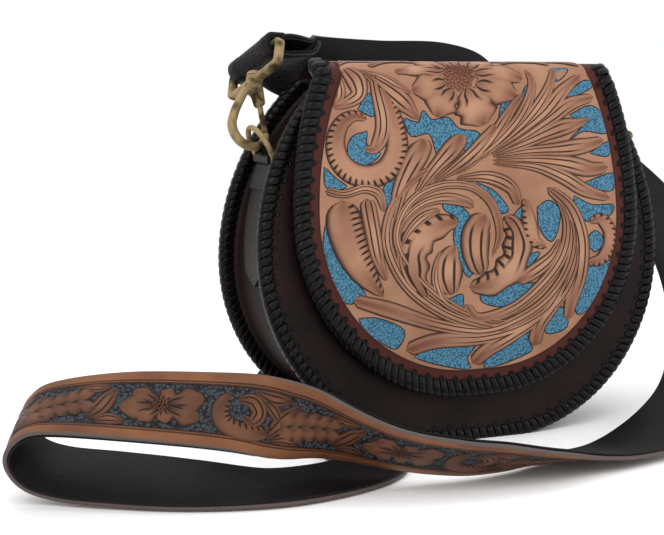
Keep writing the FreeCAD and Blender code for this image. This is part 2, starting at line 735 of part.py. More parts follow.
def hook_frame(name, hardware):
    body = new_body(f"{name}_body")
    top = cell.hook_height
    shoulder = cell.hook_shoulder / 2
    outside = [(-hook_half, hook_middle), (0, 0), (hook_half, hook_middle), (shoulder, top), (-shoulder, top)]
    pad(body, draw(body, "XZ_Plane", outside, {0: hook_half, 1: hook_half}), "XZ_Plane", cell.hook_depth,
        both_ways=True)
    crown = cell.gate_gap
    inside = [(-hook_throat, hook_middle), (0, cell.hook_bar), (hook_throat, hook_middle),
              (crown, cell.hook_throat_height), (-crown, cell.hook_throat_height)]
    pocket(body, draw(body, "XZ_Plane", inside, {0: hook_throat, 1: hook_throat}))
    gate_top = cell.pin_height - cell.gate_width / 2 - cell.gate_gap
    mouth = [(0, hook_middle), (hook_half + 1, hook_middle), (hook_half + 1, gate_top), (0, gate_top)]
    pocket(body, draw(body, "XZ_Plane", mouth))
    slot_side = cell.pin_offset - cell.gate_width / 2 - cell.gate_gap
    slot = [(slot_side - 1, gate_top - 1), (hook_half + 1, gate_top - 1),
            (hook_half + 1, cell.pin_height + cell.gate_width / 2 + cell.gate_gap),
            (slot_side - 1, cell.pin_height + cell.gate_width / 2 + cell.gate_gap)]
    slot_depth = cell.gate_depth + cell.spring_depth + cell.gate_slot_gap * 3
    pocket(body, draw(body, "XZ_Plane", slot), slot_depth)
    pocket(body, draw_circle(body, "XZ_Plane", cell.pin_offset, cell.pin_height, cell.pin_diameter))
    body.Placement = hardware.frame
    return keep(name, body)


def gate(name, hardware):
    """A tapered bar from the pin down to the hook's nose, which it stops against."""
    body = new_body(f"{name}_body")
    half = cell.gate_width / 2
    nose = hook_half - cell.hook_bar / 2
    foot = hook_middle + cell.gate_gap
    neck = cell.pin_height
    bar = [(nose - half, foot), (nose + half, foot + cell.gate_foot_slant), (cell.pin_offset + half, neck),
           (cell.pin_offset, neck + half), (cell.pin_offset - half, neck)]
    sketch = draw(body, "XZ_Plane", bar, {2: half, 3: half}, gate_shift - cell.gate_depth / 2)
    pad(body, sketch, "XZ_Plane", cell.gate_depth)
    pocket(body, draw_circle(body, "XZ_Plane", cell.pin_offset, neck, cell.pin_diameter + cell.pin_fit * 2))
    body.Placement = hardware.frame
    return keep(name, body)


gate_shift = -(cell.spring_depth + cell.gate_slot_gap) / 2


def gate_pin(name, hardware):
    body = new_body(f"{name}_body")
    place = (cell.pin_offset, cell.pin_height)
    pad(body, draw_circle(body, "XZ_Plane", *place, cell.pin_diameter), "XZ_Plane", cell.hook_depth,
        both_ways=True)
    body.Placement = hardware.frame
    return keep(name, body)


def gate_spring(name, hardware):
    """The wound body of the gate's return spring, beside the gate on its pin."""
    body = new_body(f"{name}_body")
    place = (cell.pin_offset, cell.pin_height)
    start = gate_shift + cell.gate_depth / 2 + cell.gate_slot_gap
    sketch = draw_circle(body, "XZ_Plane", *place, cell.spring_diameter, start)
    pad(body, sketch, "XZ_Plane", cell.spring_depth)
    pocket(body, draw_circle(body, "XZ_Plane", *place, cell.pin_diameter + cell.pin_fit * 2))
    body.Placement = hardware.frame
    return keep(name, body)


def swivel_stem(name, hardware):
    """The neck that the eye turns on, with its riveted head."""
    body = new_body(f"{name}_body")
    head = eye_foot + cell.eye_base + cell.swivel_play
    pad(body, draw_circle(body, "XY_Plane", 0, 0, cell.stem_diameter, cell.hook_height), "XY_Plane",
        head - cell.hook_height)
    pad(body, draw_circle(body, "XY_Plane", 0, 0, cell.stem_head_diameter, head), "XY_Plane",
        cell.stem_head_depth)
    body.Placement = hardware.frame
    return keep(name, body)


def swivel_eye(name, hardware):
    """The square loop that holds the strap: a drilled base, two sides and the bar."""
    body = new_body(f"{name}_body")
    half = cell.strap_width / 2 + cell.eye_room
    wide = half + cell.eye_side
    low, high = eye_foot, bar_height + cell.eye_bar / 2
    outside = [(-wide, low), (wide, low), (wide, high), (-wide, high)]
    pad(body, draw(body, "YZ_Plane", outside), "YZ_Plane", cell.eye_depth, both_ways=True)
    inside = [(-half, low + cell.eye_base), (half, low + cell.eye_base), (half, high - cell.eye_bar),
              (-half, high - cell.eye_bar)]
    pocket(body, draw(body, "YZ_Plane", inside))
    collar = cell.stem_head_diameter
    pad(body, draw_circle(body, "XY_Plane", 0, 0, collar, low), "XY_Plane", cell.eye_base)
    pocket(body, draw_circle(body, "XY_Plane", 0, 0, cell.stem_diameter + cell.stem_fit * 2, low),
           cell.eye_base * 2 + 1)
    body.Placement = hardware.frame
    return keep(name, body)


hardware = {}
for which, pose in HOOK_POSES.items():
    fitting = Hardware(pose)
    hardware[which] = fitting
    ring_tab(f"ring_tab_{which}", fitting.side)
    d_ring(f"ring_{which}", fitting)
    hook_frame(f"hook_frame_{which}", fitting)
    gate(f"hook_gate_{which}", fitting)
    gate_pin(f"gate_pin_{which}", fitting)
    gate_spring(f"gate_spring_{which}", fitting)
    swivel_stem(f"swivel_stem_{which}", fitting)
    swivel_eye(f"swivel_eye_{which}", fitting)


def curve_value(before, here, after, beyond, step):
    """A smooth curve through here and after, at a share of the way between them."""
    return (here * 2 + (after - before) * step
            + (before * 2 - here * 5 + after * 4 - beyond) * step ** 2
            + (here * 3 - before - after * 3 + beyond) * step ** 3) * 0.5


def smooth(points, steps):
    """Points along a smooth curve through the given ones, that many to a span."""
    ends = [points[0] * 2 - points[1]] + points + [points[-1] * 2 - points[-2]]
    result = []
    for i in range(1, len(points)):
        result += [curve_value(*ends[i - 1:i + 3], k / steps) for k in range(steps)]
    return result + [points[-1]]


class Station:
    """A place along the strap: its middle, the way across it, and the way its tooled face looks."""

    def __init__(self, middle, across, face):
        self.middle = middle
        self.across = across
        self.face = face


def strap_stations():
    """The strap from the end of one lap, round its bar, along the route and round the other bar."""
    bar_corner = root(cell.eye_bar * cell.eye_bar + cell.eye_depth * cell.eye_depth) / 2
    turn = (bar_corner + cell.strap_bar_gap + cell.strap_lining_leather + cell.strap_glue / 2).number
    left, right = hardware["left"], hardware["right"]
    middles = [Vector(*middle) for middle, _ in STRAP_ROUTE]
    across = [unit(*way) for _, way in STRAP_ROUTE]
    for fitting, end, order in ((left, 0, 1), (right, -1, -1)):
        way = fitting.bar
        run = middles[end] - fitting.bar_centre
        run = (run - way * run.dot(way)).normalize() * order
        face = run.cross(way)
        place = fitting.bar_centre + face * turn
        straight = [place + run * order * distance for distance in BAR_STRAIGHT]
        level = [way] * len(straight)
        middles = straight + middles if order > 0 else middles + straight[::-1]
        across = level + across if order > 0 else across + level
    line = smooth(middles, STRAP_STEPS)
    ways = smooth(across, STRAP_STEPS)
    run = []
    for i, middle in enumerate(line):
        if i == 0:
            along = across[0].cross((line[1] - middle).cross(across[0]))
        elif i == len(line) - 1:
            along = across[-1].cross((middle - line[-2]).cross(across[-1]))
        else:
            along = line[i + 1] - line[i - 1]
        along = along.normalize()
        way = (ways[i] - along * ways[i].dot(along)).normalize()
        run.append(Station(middle, way, along.cross(way)))
    return bar_end(run, left, turn) + run + bar_end(run[::-1], right, turn)[::-1]


LAP_CLEAR = 1.6


def bar_end(run, fitting, turn):
    """The strap's end: turned round the bar, then lapped back under the run that it came from."""
    first = run[0]
    thick = (cell.strap_leather + cell.strap_lining_leather + cell.strap_glue).number
    ahead = run[1].middle - first.middle
    ahead = (ahead - first.face * ahead.dot(first.face)).normalize()
    wrap = []
    for k in range(1, BAR_TURN_STEPS + 1):
        angle = math.pi * k / BAR_TURN_STEPS
        face = first.face * math.cos(angle) - ahead * math.sin(angle)
        wrap.append(Station(fitting.bar_centre + face * turn, first.across, face))
    lap = []
    travelled = 0.0
    for before, here in zip(run, run[1:]):
        travelled += (here.middle - before.middle).Length
        if travelled > cell.strap_lap.number:
            break
        share = max(0, travelled - BAR_STRAIGHT[1]) / (cell.strap_lap.number - BAR_STRAIGHT[1])
        drop = 2 * turn * (1 - share) + (thick + LAP_CLEAR) * share
        lap.append(Station(here.middle - here.face * drop, here.across, here.face * -1))
    return (wrap + lap)[::-1]


def strap_layer(name, stations, near, far):
    """One leather of the strap: square sections set along the stations, joined by flat strips."""
    half = cell.strap_width.number / 2
    sections = []
    for station in stations:
        corners = []
        for side, depth in ((-half, near), (half, near), (half, far), (-half, far), (-half, near)):
            corners.append(station.middle + station.across * side + station.face * depth)
        sections.append(Part.makePolygon(corners))
    return keep(name, solid(f"{name}_loft", Part.makeLoft(sections, True, True)))


stations = strap_stations()
half_glue = cell.strap_glue.number / 2
strap_layer("strap_outer", stations, half_glue, half_glue + cell.strap_leather.number)
strap_layer("strap_lining", stations, -half_glue - cell.strap_lining_leather.number, -half_glue)
strap_length = sum((b.middle - a.middle).Length for a, b in zip(stations, stations[1:]))

doc.recompute()
for obj in doc.Objects:
    if "Invalid" in obj.State or "Error" in obj.State:
        raise RuntimeError(f"{obj.Name} failed: {obj.State}")
for name, obj in nodes.items():
    if obj.Shape.isNull() or not obj.Shape.isValid():
        raise RuntimeError(f"{name} has no valid shape")

os.makedirs("parts", exist_ok=True)
for name, obj in nodes.items():
    obj.Shape.exportStep(f"parts/{name}.step")
print(f"{len(nodes)} pieces, strap {strap_length:.0f} mm")
print("flap fold axis", 0, round(fold_depth.number, 3), round(fold_height.number, 3))
for which, fitting in hardware.items():
    pin = fitting.frame.multVec(Vector(cell.pin_offset.number, 0, cell.pin_height.number))
    print(which, "ring fold", fitting.fold, "stem foot", fitting.frame.Base, "stem", fitting.stem)
    print(which, "gate pin", pin, "bar", fitting.bar, "bar centre", fitting.bar_centre)
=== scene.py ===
"""Saddle handbag: a laced leather bag with a floral-tooled flap and a tooled shoulder strap on snap hooks.

Lengths are millimetres until a piece is made; a piece's points are then set in metres.
"""
import json
import math

import bmesh
import bpy
import numpy as np
from mathutils import Matrix, Vector


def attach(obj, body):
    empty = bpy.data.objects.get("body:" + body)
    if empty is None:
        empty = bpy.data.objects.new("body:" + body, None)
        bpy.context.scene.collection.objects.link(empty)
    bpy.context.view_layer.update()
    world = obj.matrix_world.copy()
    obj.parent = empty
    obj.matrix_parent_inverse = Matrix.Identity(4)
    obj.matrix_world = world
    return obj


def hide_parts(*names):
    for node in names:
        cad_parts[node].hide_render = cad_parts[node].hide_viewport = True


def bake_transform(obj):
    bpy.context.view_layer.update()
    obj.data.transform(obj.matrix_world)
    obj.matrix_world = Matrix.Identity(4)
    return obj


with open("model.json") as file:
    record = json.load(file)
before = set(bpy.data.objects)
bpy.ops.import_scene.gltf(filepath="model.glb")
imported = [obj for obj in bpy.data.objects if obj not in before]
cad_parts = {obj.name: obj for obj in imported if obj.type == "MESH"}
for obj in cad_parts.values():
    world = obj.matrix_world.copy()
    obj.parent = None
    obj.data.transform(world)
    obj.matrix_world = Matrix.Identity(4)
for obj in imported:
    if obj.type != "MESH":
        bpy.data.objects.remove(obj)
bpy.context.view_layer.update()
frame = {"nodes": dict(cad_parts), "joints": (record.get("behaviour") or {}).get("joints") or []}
nodes = frame["nodes"]
joints = {joint["name"]: joint for joint in frame["joints"]}

MM = 0.001
RIGHT = np.array([1.0, 0.0, 0.0])


# Shapes built from arrays

class Patches:
    """Gathers the points, faces, drawing spots and point values of one piece, patch by patch."""

    def __init__(self, *value_names):
        self.points = []
        self.faces = []
        self.spots = []
        self.slots = []
        self.values = {name: [] for name in value_names}
        self.count = 0

    def add(self, points, faces, spots=None, slot=0, **values):
        """Adds one patch; its faces count from its own first point."""
        points = np.asarray(points, float).reshape(-1, 3)
        self.points.append(points)
        self.faces += [[corner + self.count for corner in face] for face in faces]
        self.spots.append(np.zeros((len(points), 2)) if spots is None else np.reshape(spots, (-1, 2)))
        self.slots += list(np.broadcast_to(slot, len(faces)))
        for name, kept in self.values.items():
            kept.append(np.broadcast_to(np.ravel(values.get(name, 0.0)), len(points)))
        self.count += len(points)

    def grid(self, points, spots=None, slot=0, round_trip=False, caps=False, **values):
        """A sheet of quads over points[row, column]; round_trip joins the last column to the first."""
        rows, columns = points.shape[:2]
        index = np.arange(rows * columns).reshape(rows, columns)
        if round_trip:
            index = np.concatenate([index, index[:, :1]], axis=1)
        quads = np.stack([index[:-1, :-1], index[:-1, 1:], index[1:, 1:], index[1:, :-1]], axis=-1)
        per_face = np.broadcast_to(slot, quads.shape[:2]).ravel()
        faces = quads.reshape(-1, 4).tolist()
        if caps:
            faces += [index[0, :columns].tolist(), index[-1, :columns][::-1].tolist()]
            per_face = np.concatenate([per_face, per_face[:1], per_face[:1]])
        self.add(points, faces, spots, per_face, **values)

    def piece(self, name, *materials, closed=True):
        """Makes the object; a closed one has its faces turned outward."""
        mesh = bpy.data.meshes.new(name)
        mesh.from_pydata((np.concatenate(self.points) * MM).tolist(), [], self.faces)
        for material in materials:
            mesh.materials.append(material)
        mesh.polygons.foreach_set("material_index", np.array(self.slots, np.int32))
        mesh.polygons.foreach_set("use_smooth", np.ones(len(mesh.polygons), bool))
        corners = np.empty(len(mesh.loops), np.int32)
        mesh.loops.foreach_get("vertex_index", corners)
        drawing = mesh.uv_layers.new(name="UVMap")
        drawing.data.foreach_set("uv", np.concatenate(self.spots)[corners].ravel().astype(np.float32))
        for value, kept in self.values.items():
            layer = mesh.attributes.new(value, "FLOAT", "POINT")
            layer.data.foreach_set("value", np.concatenate(kept).astype(np.float32))
        if closed:
            shell = bmesh.new()
            shell.from_mesh(mesh)
            bmesh.ops.recalc_face_normals(shell, faces=shell.faces)
            shell.to_mesh(mesh)
            shell.free()
        mesh.update()
        obj = bpy.data.objects.new(name, mesh)
        bpy.context.scene.collection.objects.link(obj)
        return obj


def unit(vectors):
    """Each vector divided by its length."""
    vectors = np.asarray(vectors, float)
    return vectors / np.linalg.norm(vectors, axis=-1, keepdims=True)


def smooth(points, steps):
    """A smooth curve through the points: each span is the cubic whose slope at a point is half the step
    between that point's neighbours, sampled that many times."""
    points = np.asarray(points, float)
    ends = np.vstack([2 * points[:1] - points[1:2], points, 2 * points[-1:] - points[-2:-1]])
    before, here, after, beyond = ends[:-3], ends[1:-2], ends[2:-1], ends[3:]
    t = (np.arange(steps) / steps)[None, :, None]
    before, here, after, beyond = (part[:, None, :] for part in (before, here, after, beyond))
    curve = 0.5 * (2 * here + (after - before) * t
                   + (2 * before - 5 * here + 4 * after - beyond) * t ** 2
                   + (3 * here - before - 3 * after + beyond) * t ** 3)
    return np.vstack([curve.reshape(-1, points.shape[1]), points[-1:]])


def evenly(points, count):
    """The polyline sampled at equal steps of its length."""
    length = np.concatenate([[0], np.cumsum(np.linalg.norm(np.diff(points, axis=0), axis=1))])
    wanted = np.linspace(0, length[-1], count)
    return np.stack([np.interp(wanted, length, column) for column in np.transpose(points)], axis=-1)


def headings(points, closed=False):
    """Unit tangents along a line of points, from the step between each point's neighbours."""
    if closed:
        return unit(np.roll(points, -1, axis=0) - np.roll(points, 1, axis=0))
    return unit(np.gradient(points, axis=0))


def tube(patches, path, side, in_plane, across, corners=16, squareness=2.6, closed=False, slot=0):
    """A bar swept along a flat path: at each point the section is a squared ellipse,
    |a/in_plane|^k + |b/across|^k = 1, with b along the side direction."""
    heading = headings(path, closed)
    side = np.broadcast_to(unit(side), path.shape)
    normal = unit(np.cross(heading, side))
    angle = np.linspace(0, 2 * math.pi, corners, endpoint=False)
    power = 2 / squareness
    a = np.sign(np.cos(angle)) * np.abs(np.cos(angle)) ** power
    b = np.sign(np.sin(angle)) * np.abs(np.sin(angle)) ** power
    in_plane = np.broadcast_to(in_plane, len(path))[:, None, None]
    across = np.broadcast_to(across, len(path))[:, None, None]
    points = (path[:, None] + normal[:, None] * (in_plane * a[None, :, None])
              + side[:, None] * (across * b[None, :, None]))
    if closed:
        points = np.concatenate([points, points[:1]])
    patches.grid(points, round_trip=True, caps=not closed, slot=slot)


def turned(patches, base, axis, profile, corners=24, slot=0):
    """A turned form: each (radius, height) of the profile is a circle about the axis."""
    axis = unit(axis)
    first = unit(np.cross(axis, [0.3, 0.8, 0.52]))
    second = np.cross(axis, first)
    angle = np.linspace(0, 2 * math.pi, corners, endpoint=False)
    ring = np.cos(angle)[:, None] * first + np.sin(angle)[:, None] * second
    profile = np.asarray(profile, float)
    points = base + profile[:, 0][:, None, None] * ring + profile[:, 1][:, None, None] * axis
    patches.grid(points, round_trip=True, caps=True, slot=slot)


# The bag's measurements

class Face:
    """A leaning face: its foot, the way up it and the way out of it."""

    def __init__(self, depth, lean, front):
        lean = math.radians(lean)
        outward = -1 if front else 1
        self.foot = np.array([0, depth, 0.2])
        self.up = np.array([0, -outward * math.sin(lean), math.cos(lean)])
        self.out = np.array([0, outward * math.cos(lean), math.sin(lean)])

    def spot(self, x, height, out=0.0):
        """The point x along the face, height up it and that far out of it."""
        x, height, out = np.broadcast_arrays(np.asarray(x, float), height, out)
        return (self.foot + x[..., None] * RIGHT + height[..., None] * self.up
                + out[..., None] * self.out)


class Shape:
    """A rounded panel: a short flat foot, quarter arcs up to the waist, long arcs above it."""

    def __init__(self, half, flat, bottom, side_radius, top):
        self.half = half
        self.flat = flat
        self.bottom = bottom
        self.side_radius = side_radius
        self.top = top
        self.low_radius = half - flat
        self.waist = bottom + self.low_radius
        self.inner = half - side_radius

    def edge(self, inset, count):
        """Points (x, height) at equal steps along the edge, moved in by inset, from the left top down
        and round to the right top."""
        upper = self.side_radius - inset
        lower = self.low_radius - inset
        high = np.linspace(math.asin((self.top - self.waist) / upper), 0, 60)
        low = np.linspace(0, math.pi / 2, 90)
        left = np.concatenate([
            np.stack([-self.inner - upper * np.cos(high), self.waist + upper * np.sin(high)], axis=-1),
            np.stack([-self.flat - lower * np.cos(low), self.waist - lower * np.sin(low)], axis=-1)])
        return evenly(np.concatenate([left, left[::-1] * [-1, 1]]), count)

    def half_width(self, height):
        """Half the panel's width at a height; above the top it stays as it is there."""
        height = np.clip(height, self.bottom, self.top)
        below = self.flat + np.sqrt(np.maximum(self.low_radius ** 2 - (self.waist - height) ** 2, 0))
        above = self.inner + np.sqrt(self.side_radius ** 2 - np.maximum(height - self.waist, 0) ** 2)
        return np.where(height < self.waist, below, above)

    def margin(self, x, height):
        """How far a point is inside the edge."""
        x = np.abs(x)
        low = self.low_radius - np.hypot(np.maximum(x - self.flat, 0), self.waist - height)
        high = self.side_radius - np.hypot(x - self.inner, np.minimum(height, self.top) - self.waist)
        return np.where(height < self.waist, low, high)


FRONT_LEAN = 5.4
BACK_LEAN = 8.2
FRONT = Face(depth=-43, lean=FRONT_LEAN, front=True)
BACK = Face(depth=43, lean=BACK_LEAN, front=False)
BAG = Shape(half=123, flat=18, bottom=0, side_radius=129, top=200)
FLAP = Shape(half=106, flat=8, bottom=26, side_radius=200, top=200)
SEAM_LEATHER = 4.5
FLAP_THICK = 3.8
BEND_MIDDLE = np.array([-20.6, 194.5])
BEND_RADIUS = 11.8
BEND_TURN = math.radians(90 - FRONT_LEAN)
TOP_RUN = 33.4
FOLD_HALF = 70
TAIL_RADIUS = 3.7
TAIL_TURN = math.radians(90 - BACK_LEAN)
TAIL_RUN = 22
TAIL_THICK = 2.5
BORDER = 13.2
LACED_BAND = (7.6, 9.2)
STRAP_HALF = 19.0
TOOLED_HALF = 12.4
PLAIN_END = 76.0
STRAP_OUTER = (0.125, 2.325)
STRAP_INNER = (-1.325, -0.125)
STRAP_SINK = 0.25
TOOLING_LEVEL = 2.05
bend_start = float(np.dot([0, *BEND_MIDDLE] - FRONT.foot, FRONT.up))
top_start = bend_start + BEND_RADIUS * BEND_TURN
tail_start = top_start + TOP_RUN
hang_start = tail_start + TAIL_RADIUS * TAIL_TURN


def flap_spot(x, run, rise=0.0):
    """A point on the flap's outside. run climbs the front, goes round the bend, along the top, over the
    back edge and down behind it; each part starts where the one before it ends. rise is outward."""
    x, run, rise = np.broadcast_arrays(np.asarray(x, float), np.asarray(run, float), rise)
    bend = np.clip((run - bend_start) / BEND_RADIUS, 0, BEND_TURN)
    top = np.clip(run - top_start, 0, TOP_RUN)
    tail = np.clip((run - tail_start) / TAIL_RADIUS, 0, TAIL_TURN)
    hang = np.maximum(run - hang_start, 0)
    below = np.maximum(bend_start - run, 0)
    facing = BEND_TURN - bend - tail
    y = (BEND_MIDDLE[0] - BEND_RADIUS * np.sin(BEND_TURN - bend) - below * math.cos(BEND_TURN) + top
         + TAIL_RADIUS * np.sin(tail) + hang * math.cos(TAIL_TURN) - rise * np.sin(facing))
    z = (BEND_MIDDLE[1] + BEND_RADIUS * np.cos(BEND_TURN - bend) - below * math.sin(BEND_TURN)
         + TAIL_RADIUS * (np.cos(tail) - 1) - hang * math.sin(TAIL_TURN) + rise * np.cos(facing))
    return np.stack([x, y, z], axis=-1)


# Shading

class Graph:
    """Short ways to add and join the nodes of one node tree."""

    def __init__(self, tree):
        self.tree = tree

    def put(self, socket, value):
        if isinstance(value, bpy.types.NodeSocket):
            self.tree.links.new(value, socket)
        else:
            socket.default_value = value

    def node(self, kind, inputs=None, **settings):
        node = self.tree.nodes.new(kind)
        for name, value in settings.items():
            setattr(node, name, value)
        self.fill(node, inputs or {})
        return node

    def fill(self, node, inputs):
        for name, value in inputs.items():
            self.put(node.inputs[name], value)

    def shader(self):
        return self.tree.nodes["Principled BSDF"]

    def sum(self, operation, first, second=0.0, clamp=False):
        node = self.node("ShaderNodeMath", {0: first, 1: second}, operation=operation, use_clamp=clamp)
        return node.outputs[0]

    def step(self, value, low, high):
        """0 below low, 1 above high, smooth between; low above high turns it round."""
        node = self.node("ShaderNodeMapRange", {"Value": value}, interpolation_type="SMOOTHSTEP")
        near, far = min(low, high), max(low, high)
        node.inputs["From Min"].default_value = near
        node.inputs["From Max"].default_value = far
        node.inputs["To Min"].default_value = 0.0 if low < high else 1.0
        node.inputs["To Max"].default_value = 1.0 if low < high else 0.0
        return node.outputs[0]

    def blend(self, share, first, second):
        node = self.node("ShaderNodeMix", {0: share, 6: first, 7: second}, data_type="RGBA")
        return node.outputs[2]

    def object_spot(self):
        return self.node("ShaderNodeTexCoord").outputs["Object"]

    def noise(self, scale, detail=2.0):
        node = self.node("ShaderNodeTexNoise", {"Vector": self.object_spot(), "Scale": scale,
                                                "Detail": detail})
        return node.outputs[0]

    def cells(self, scale):
        node = self.node("ShaderNodeTexVoronoi", {"Vector": self.object_spot(), "Scale": scale})
        return node.outputs["Distance"]

    def value(self, name):
        return self.node("ShaderNodeAttribute", attribute_name=name).outputs["Fac"]

    def bump(self, height, distance, strength=1.0, normal=None):
        inputs = {"Height": height, "Distance": distance, "Strength": strength}
        if normal is not None:
            inputs["Normal"] = normal
        return self.node("ShaderNodeBump", inputs).outputs[0]

    def use(self, group, **inputs):
        return self.node("ShaderNodeGroup", inputs, node_tree=group).outputs


def shade_group(name, inputs, *outputs):
    """An empty node group with those sockets; returns it with its graph, its inputs and its output node.
    An output called Normal is a vector, the others are plain values."""
    group = bpy.data.node_groups.new(name, "ShaderNodeTree")
    for socket, value in inputs.items():
        made = group.interface.new_socket(socket, in_out="INPUT", socket_type="NodeSocketFloat")
        made.default_value = value
    for socket in outputs:
        kind = "NodeSocketVector" if socket == "Normal" else "NodeSocketFloat"
        group.interface.new_socket(socket, in_out="OUTPUT", socket_type=kind)
    graph = Graph(group)
    given = graph.node("NodeGroupInput").outputs
    return group, graph, given, graph.node("NodeGroupOutput")


def grain_group():
    """Leather grain: fine cells over slow mottling, as a normal and a mottle mask."""
    group, graph, given, result = shade_group(
        "leather grain", {"Depth": 0.0002, "Size": 900.0}, "Mottle", "Normal")
    cells = graph.cells(given["Size"])
    fine = graph.noise(given["Size"], 3.0)
    height = graph.sum("ADD", graph.sum("MULTIPLY", cells, 0.7), graph.sum("MULTIPLY", fine, 0.5))
    slow = graph.noise(38.0, 4.0)
    graph.fill(result, {"Mottle": graph.step(slow, 0.35, 0.68),
                        "Normal": graph.bump(height, given["Depth"])})
    return group


def marks_group():
    """Swivel-knife and stamp marks on a raised leaf. Across the leaf: a dark cut at each edge and two
    veins, which start at its foot and end at its vein value; along it: hatching near the chosen side;
    toward its tip and foot: burnished shading; toward its edges (the Shade mask): antique stain with
    painted shade on the leaf's rounded shoulders."""
    group, graph, given, result = shade_group(
        "tooling marks", {"Edge": 0.64}, "Cut", "Burn", "Shade", "Normal")
    spot = graph.node("ShaderNodeSeparateXYZ", {0: graph.node("ShaderNodeUVMap").outputs[0]})
    along, across = spot.outputs[0], spot.outputs[1]
    off = graph.sum("ABSOLUTE", across)
    edge = graph.node("ShaderNodeMapRange", {"Value": off, "From Min": given["Edge"], "From Max": 0.97},
                      interpolation_type="SMOOTHSTEP").outputs[0]
    vein_place = graph.sum("ABSOLUTE", graph.sum("SUBTRACT", off, 0.36))
    left_to_go = graph.sum("SUBTRACT", graph.value("vein"), along)
    vein = graph.sum("MULTIPLY", graph.step(vein_place, 0.13, 0.04),
                     graph.sum("MULTIPLY", left_to_go, 6.0, clamp=True))
    wave = graph.sum("SINE", graph.sum("ADD", graph.sum("MULTIPLY", along, graph.value("hatch")),
                                       graph.sum("MULTIPLY", off, 2.4)))
    sided = graph.sum("MULTIPLY", across, graph.value("side"))
    hatch = graph.sum("MULTIPLY", graph.step(wave, 0.1, 0.75), graph.step(sided, 0.2, 0.5))
    hatch = graph.sum("MULTIPLY", hatch, graph.step(graph.value("hatch"), 1.0, 5.0))
    cut = graph.sum("MAXIMUM", edge, graph.sum("MAXIMUM", vein, hatch))
    tip = graph.sum("MULTIPLY", graph.step(along, 0.55, 1.0), graph.value("burn"))
    foot = graph.sum("MULTIPLY", graph.step(along, 0.5, 0.0), graph.value("foot"))
    middle = graph.step(off, 0.95, 0.1)
    burn = graph.sum("MULTIPLY", graph.sum("ADD", tip, foot), middle)
    hide = graph.noise(1500.0, 2.0)
    height = graph.sum("SUBTRACT", graph.sum("MULTIPLY", hide, 0.25), cut)
    # Shade: darker toward the leaf's edges, antique stain with painted shade on its rounded shoulders.
    graph.fill(result, {"Cut": cut, "Burn": burn, "Shade": graph.step(off, 0.3, 0.95),
                        "Normal": graph.bump(height, 0.0004)})
    return group


def stipple_group():
    """Stamped background: close small dimples, as a mask of their rims and a normal."""
    group, graph, given, result = shade_group("stippled ground", {"Size": 620.0}, "Rim", "Normal")
    cells = graph.cells(given["Size"])
    graph.fill(result, {"Rim": graph.step(cells, 0.3, 0.75), "Normal": graph.bump(cells, 0.0006)})
    return group


def aged_metal_group():
    """Antique finish: dark patches in the plating and small dents."""
    group, graph, given, result = shade_group("aged metal", {"Size": 120.0}, "Dark", "Rough", "Normal")
    patches = graph.noise(given["Size"], 5.0)
    graph.fill(result, {"Dark": graph.step(patches, 0.42, 0.66),
                        "Rough": graph.sum("MULTIPLY_ADD", patches, 0.35),
                        "Normal": graph.bump(patches, 0.0003, 0.5)})
    return group


GRAIN = grain_group()
MARKS = marks_group()
STIPPLE = stipple_group()
AGED = aged_metal_group()


def tint(red, green, blue):
    """A screen colour (0 to 255) as the linear colour that a shader takes."""
    parts = []
    for part in (red, green, blue):
        part = part / 255
        parts.append(part / 12.92 if part <= 0.04045 else ((part + 0.055) / 1.055) ** 2.4)
    return (*parts, 1.0)


LEATHER_SHEEN = 0.14


def new_material(name):
    """A material and its graph."""
    material = bpy.data.materials.new(name)
    material.use_nodes = True
    return material, Graph(material.node_tree)


def finish_leather(material, graph, colour, normal, roughness):
    """Fills in the shader of a new leather. The sheen is the same for all of them."""
    graph.fill(graph.shader(), {"Base Color": colour, "Normal": normal, "Roughness": roughness,
                                "Specular IOR Level": LEATHER_SHEEN})
    return material


def plain_leather(name, dark, light, roughness, depth=0.0002, size=900.0):
    """Smooth dyed leather: two close colours by the mottle mask, grain in the normal."""
    material, graph = new_material(name)
    grain = graph.use(GRAIN, Depth=depth, Size=size)
    colour = graph.blend(grain["Mottle"], tint(*dark), tint(*light))
    return finish_leather(material, graph, colour, grain["Normal"], roughness)


def tooled_leather(name, pale, deep, burn_and_shade, cut_colour):
    """Raised tooling: natural leather with dark cuts, burnished shading, and antique stain with painted
    shade toward each leaf's edges.
    """
    material, graph = new_material(name)
    marks = graph.use(MARKS)
    mottle = graph.use(GRAIN, Depth=0.0001)["Mottle"]
    colour = graph.blend(mottle, tint(*pale), tint(*deep))
    # Painted shade: the leaf's edges take the burnt colour by the Shade mask, together with antique stain.
    colour = graph.blend(graph.sum("MULTIPLY", marks["Shade"], 0.42), colour, tint(*burn_and_shade))
    colour = graph.blend(graph.sum("MULTIPLY", marks["Burn"], 0.95), colour, tint(*burn_and_shade))
    colour = graph.blend(graph.sum("MULTIPLY", marks["Cut"], 0.95), colour, tint(*cut_colour))
    return finish_leather(material, graph, colour, marks["Normal"], 0.45)


def stippled_ground(name, pale, deep, size):
    """Stamped background: pale in the dimples and deep on their rims."""
    material, graph = new_material(name)
    stipple = graph.use(STIPPLE, Size=size)
    colour = graph.blend(stipple["Rim"], tint(*pale), tint(*deep))
    return finish_leather(material, graph, colour, stipple["Normal"], 0.6)


def flap_leather(name):
    """The flap's outside: black under the lacing, a red-brown border, a dark line, then natural leather,
    by how far each point is from the edge."""
    material, graph = new_material(name)
    grain = graph.use(GRAIN, Depth=0.0001)
    inside = graph.value("margin")
    natural = graph.blend(grain["Mottle"], tint(160, 119, 94), tint(142, 102, 79))
    border = graph.blend(graph.step(inside, BORDER - 0.8, BORDER - 0.3), tint(66, 28, 22), tint(40, 18, 13))
    colour = graph.blend(graph.step(inside, BORDER, BORDER + 0.6), border, natural)
    colour = graph.blend(graph.step(inside, *LACED_BAND), tint(20, 14, 13), colour)
    return finish_leather(material, graph, colour, grain["Normal"], 0.5)


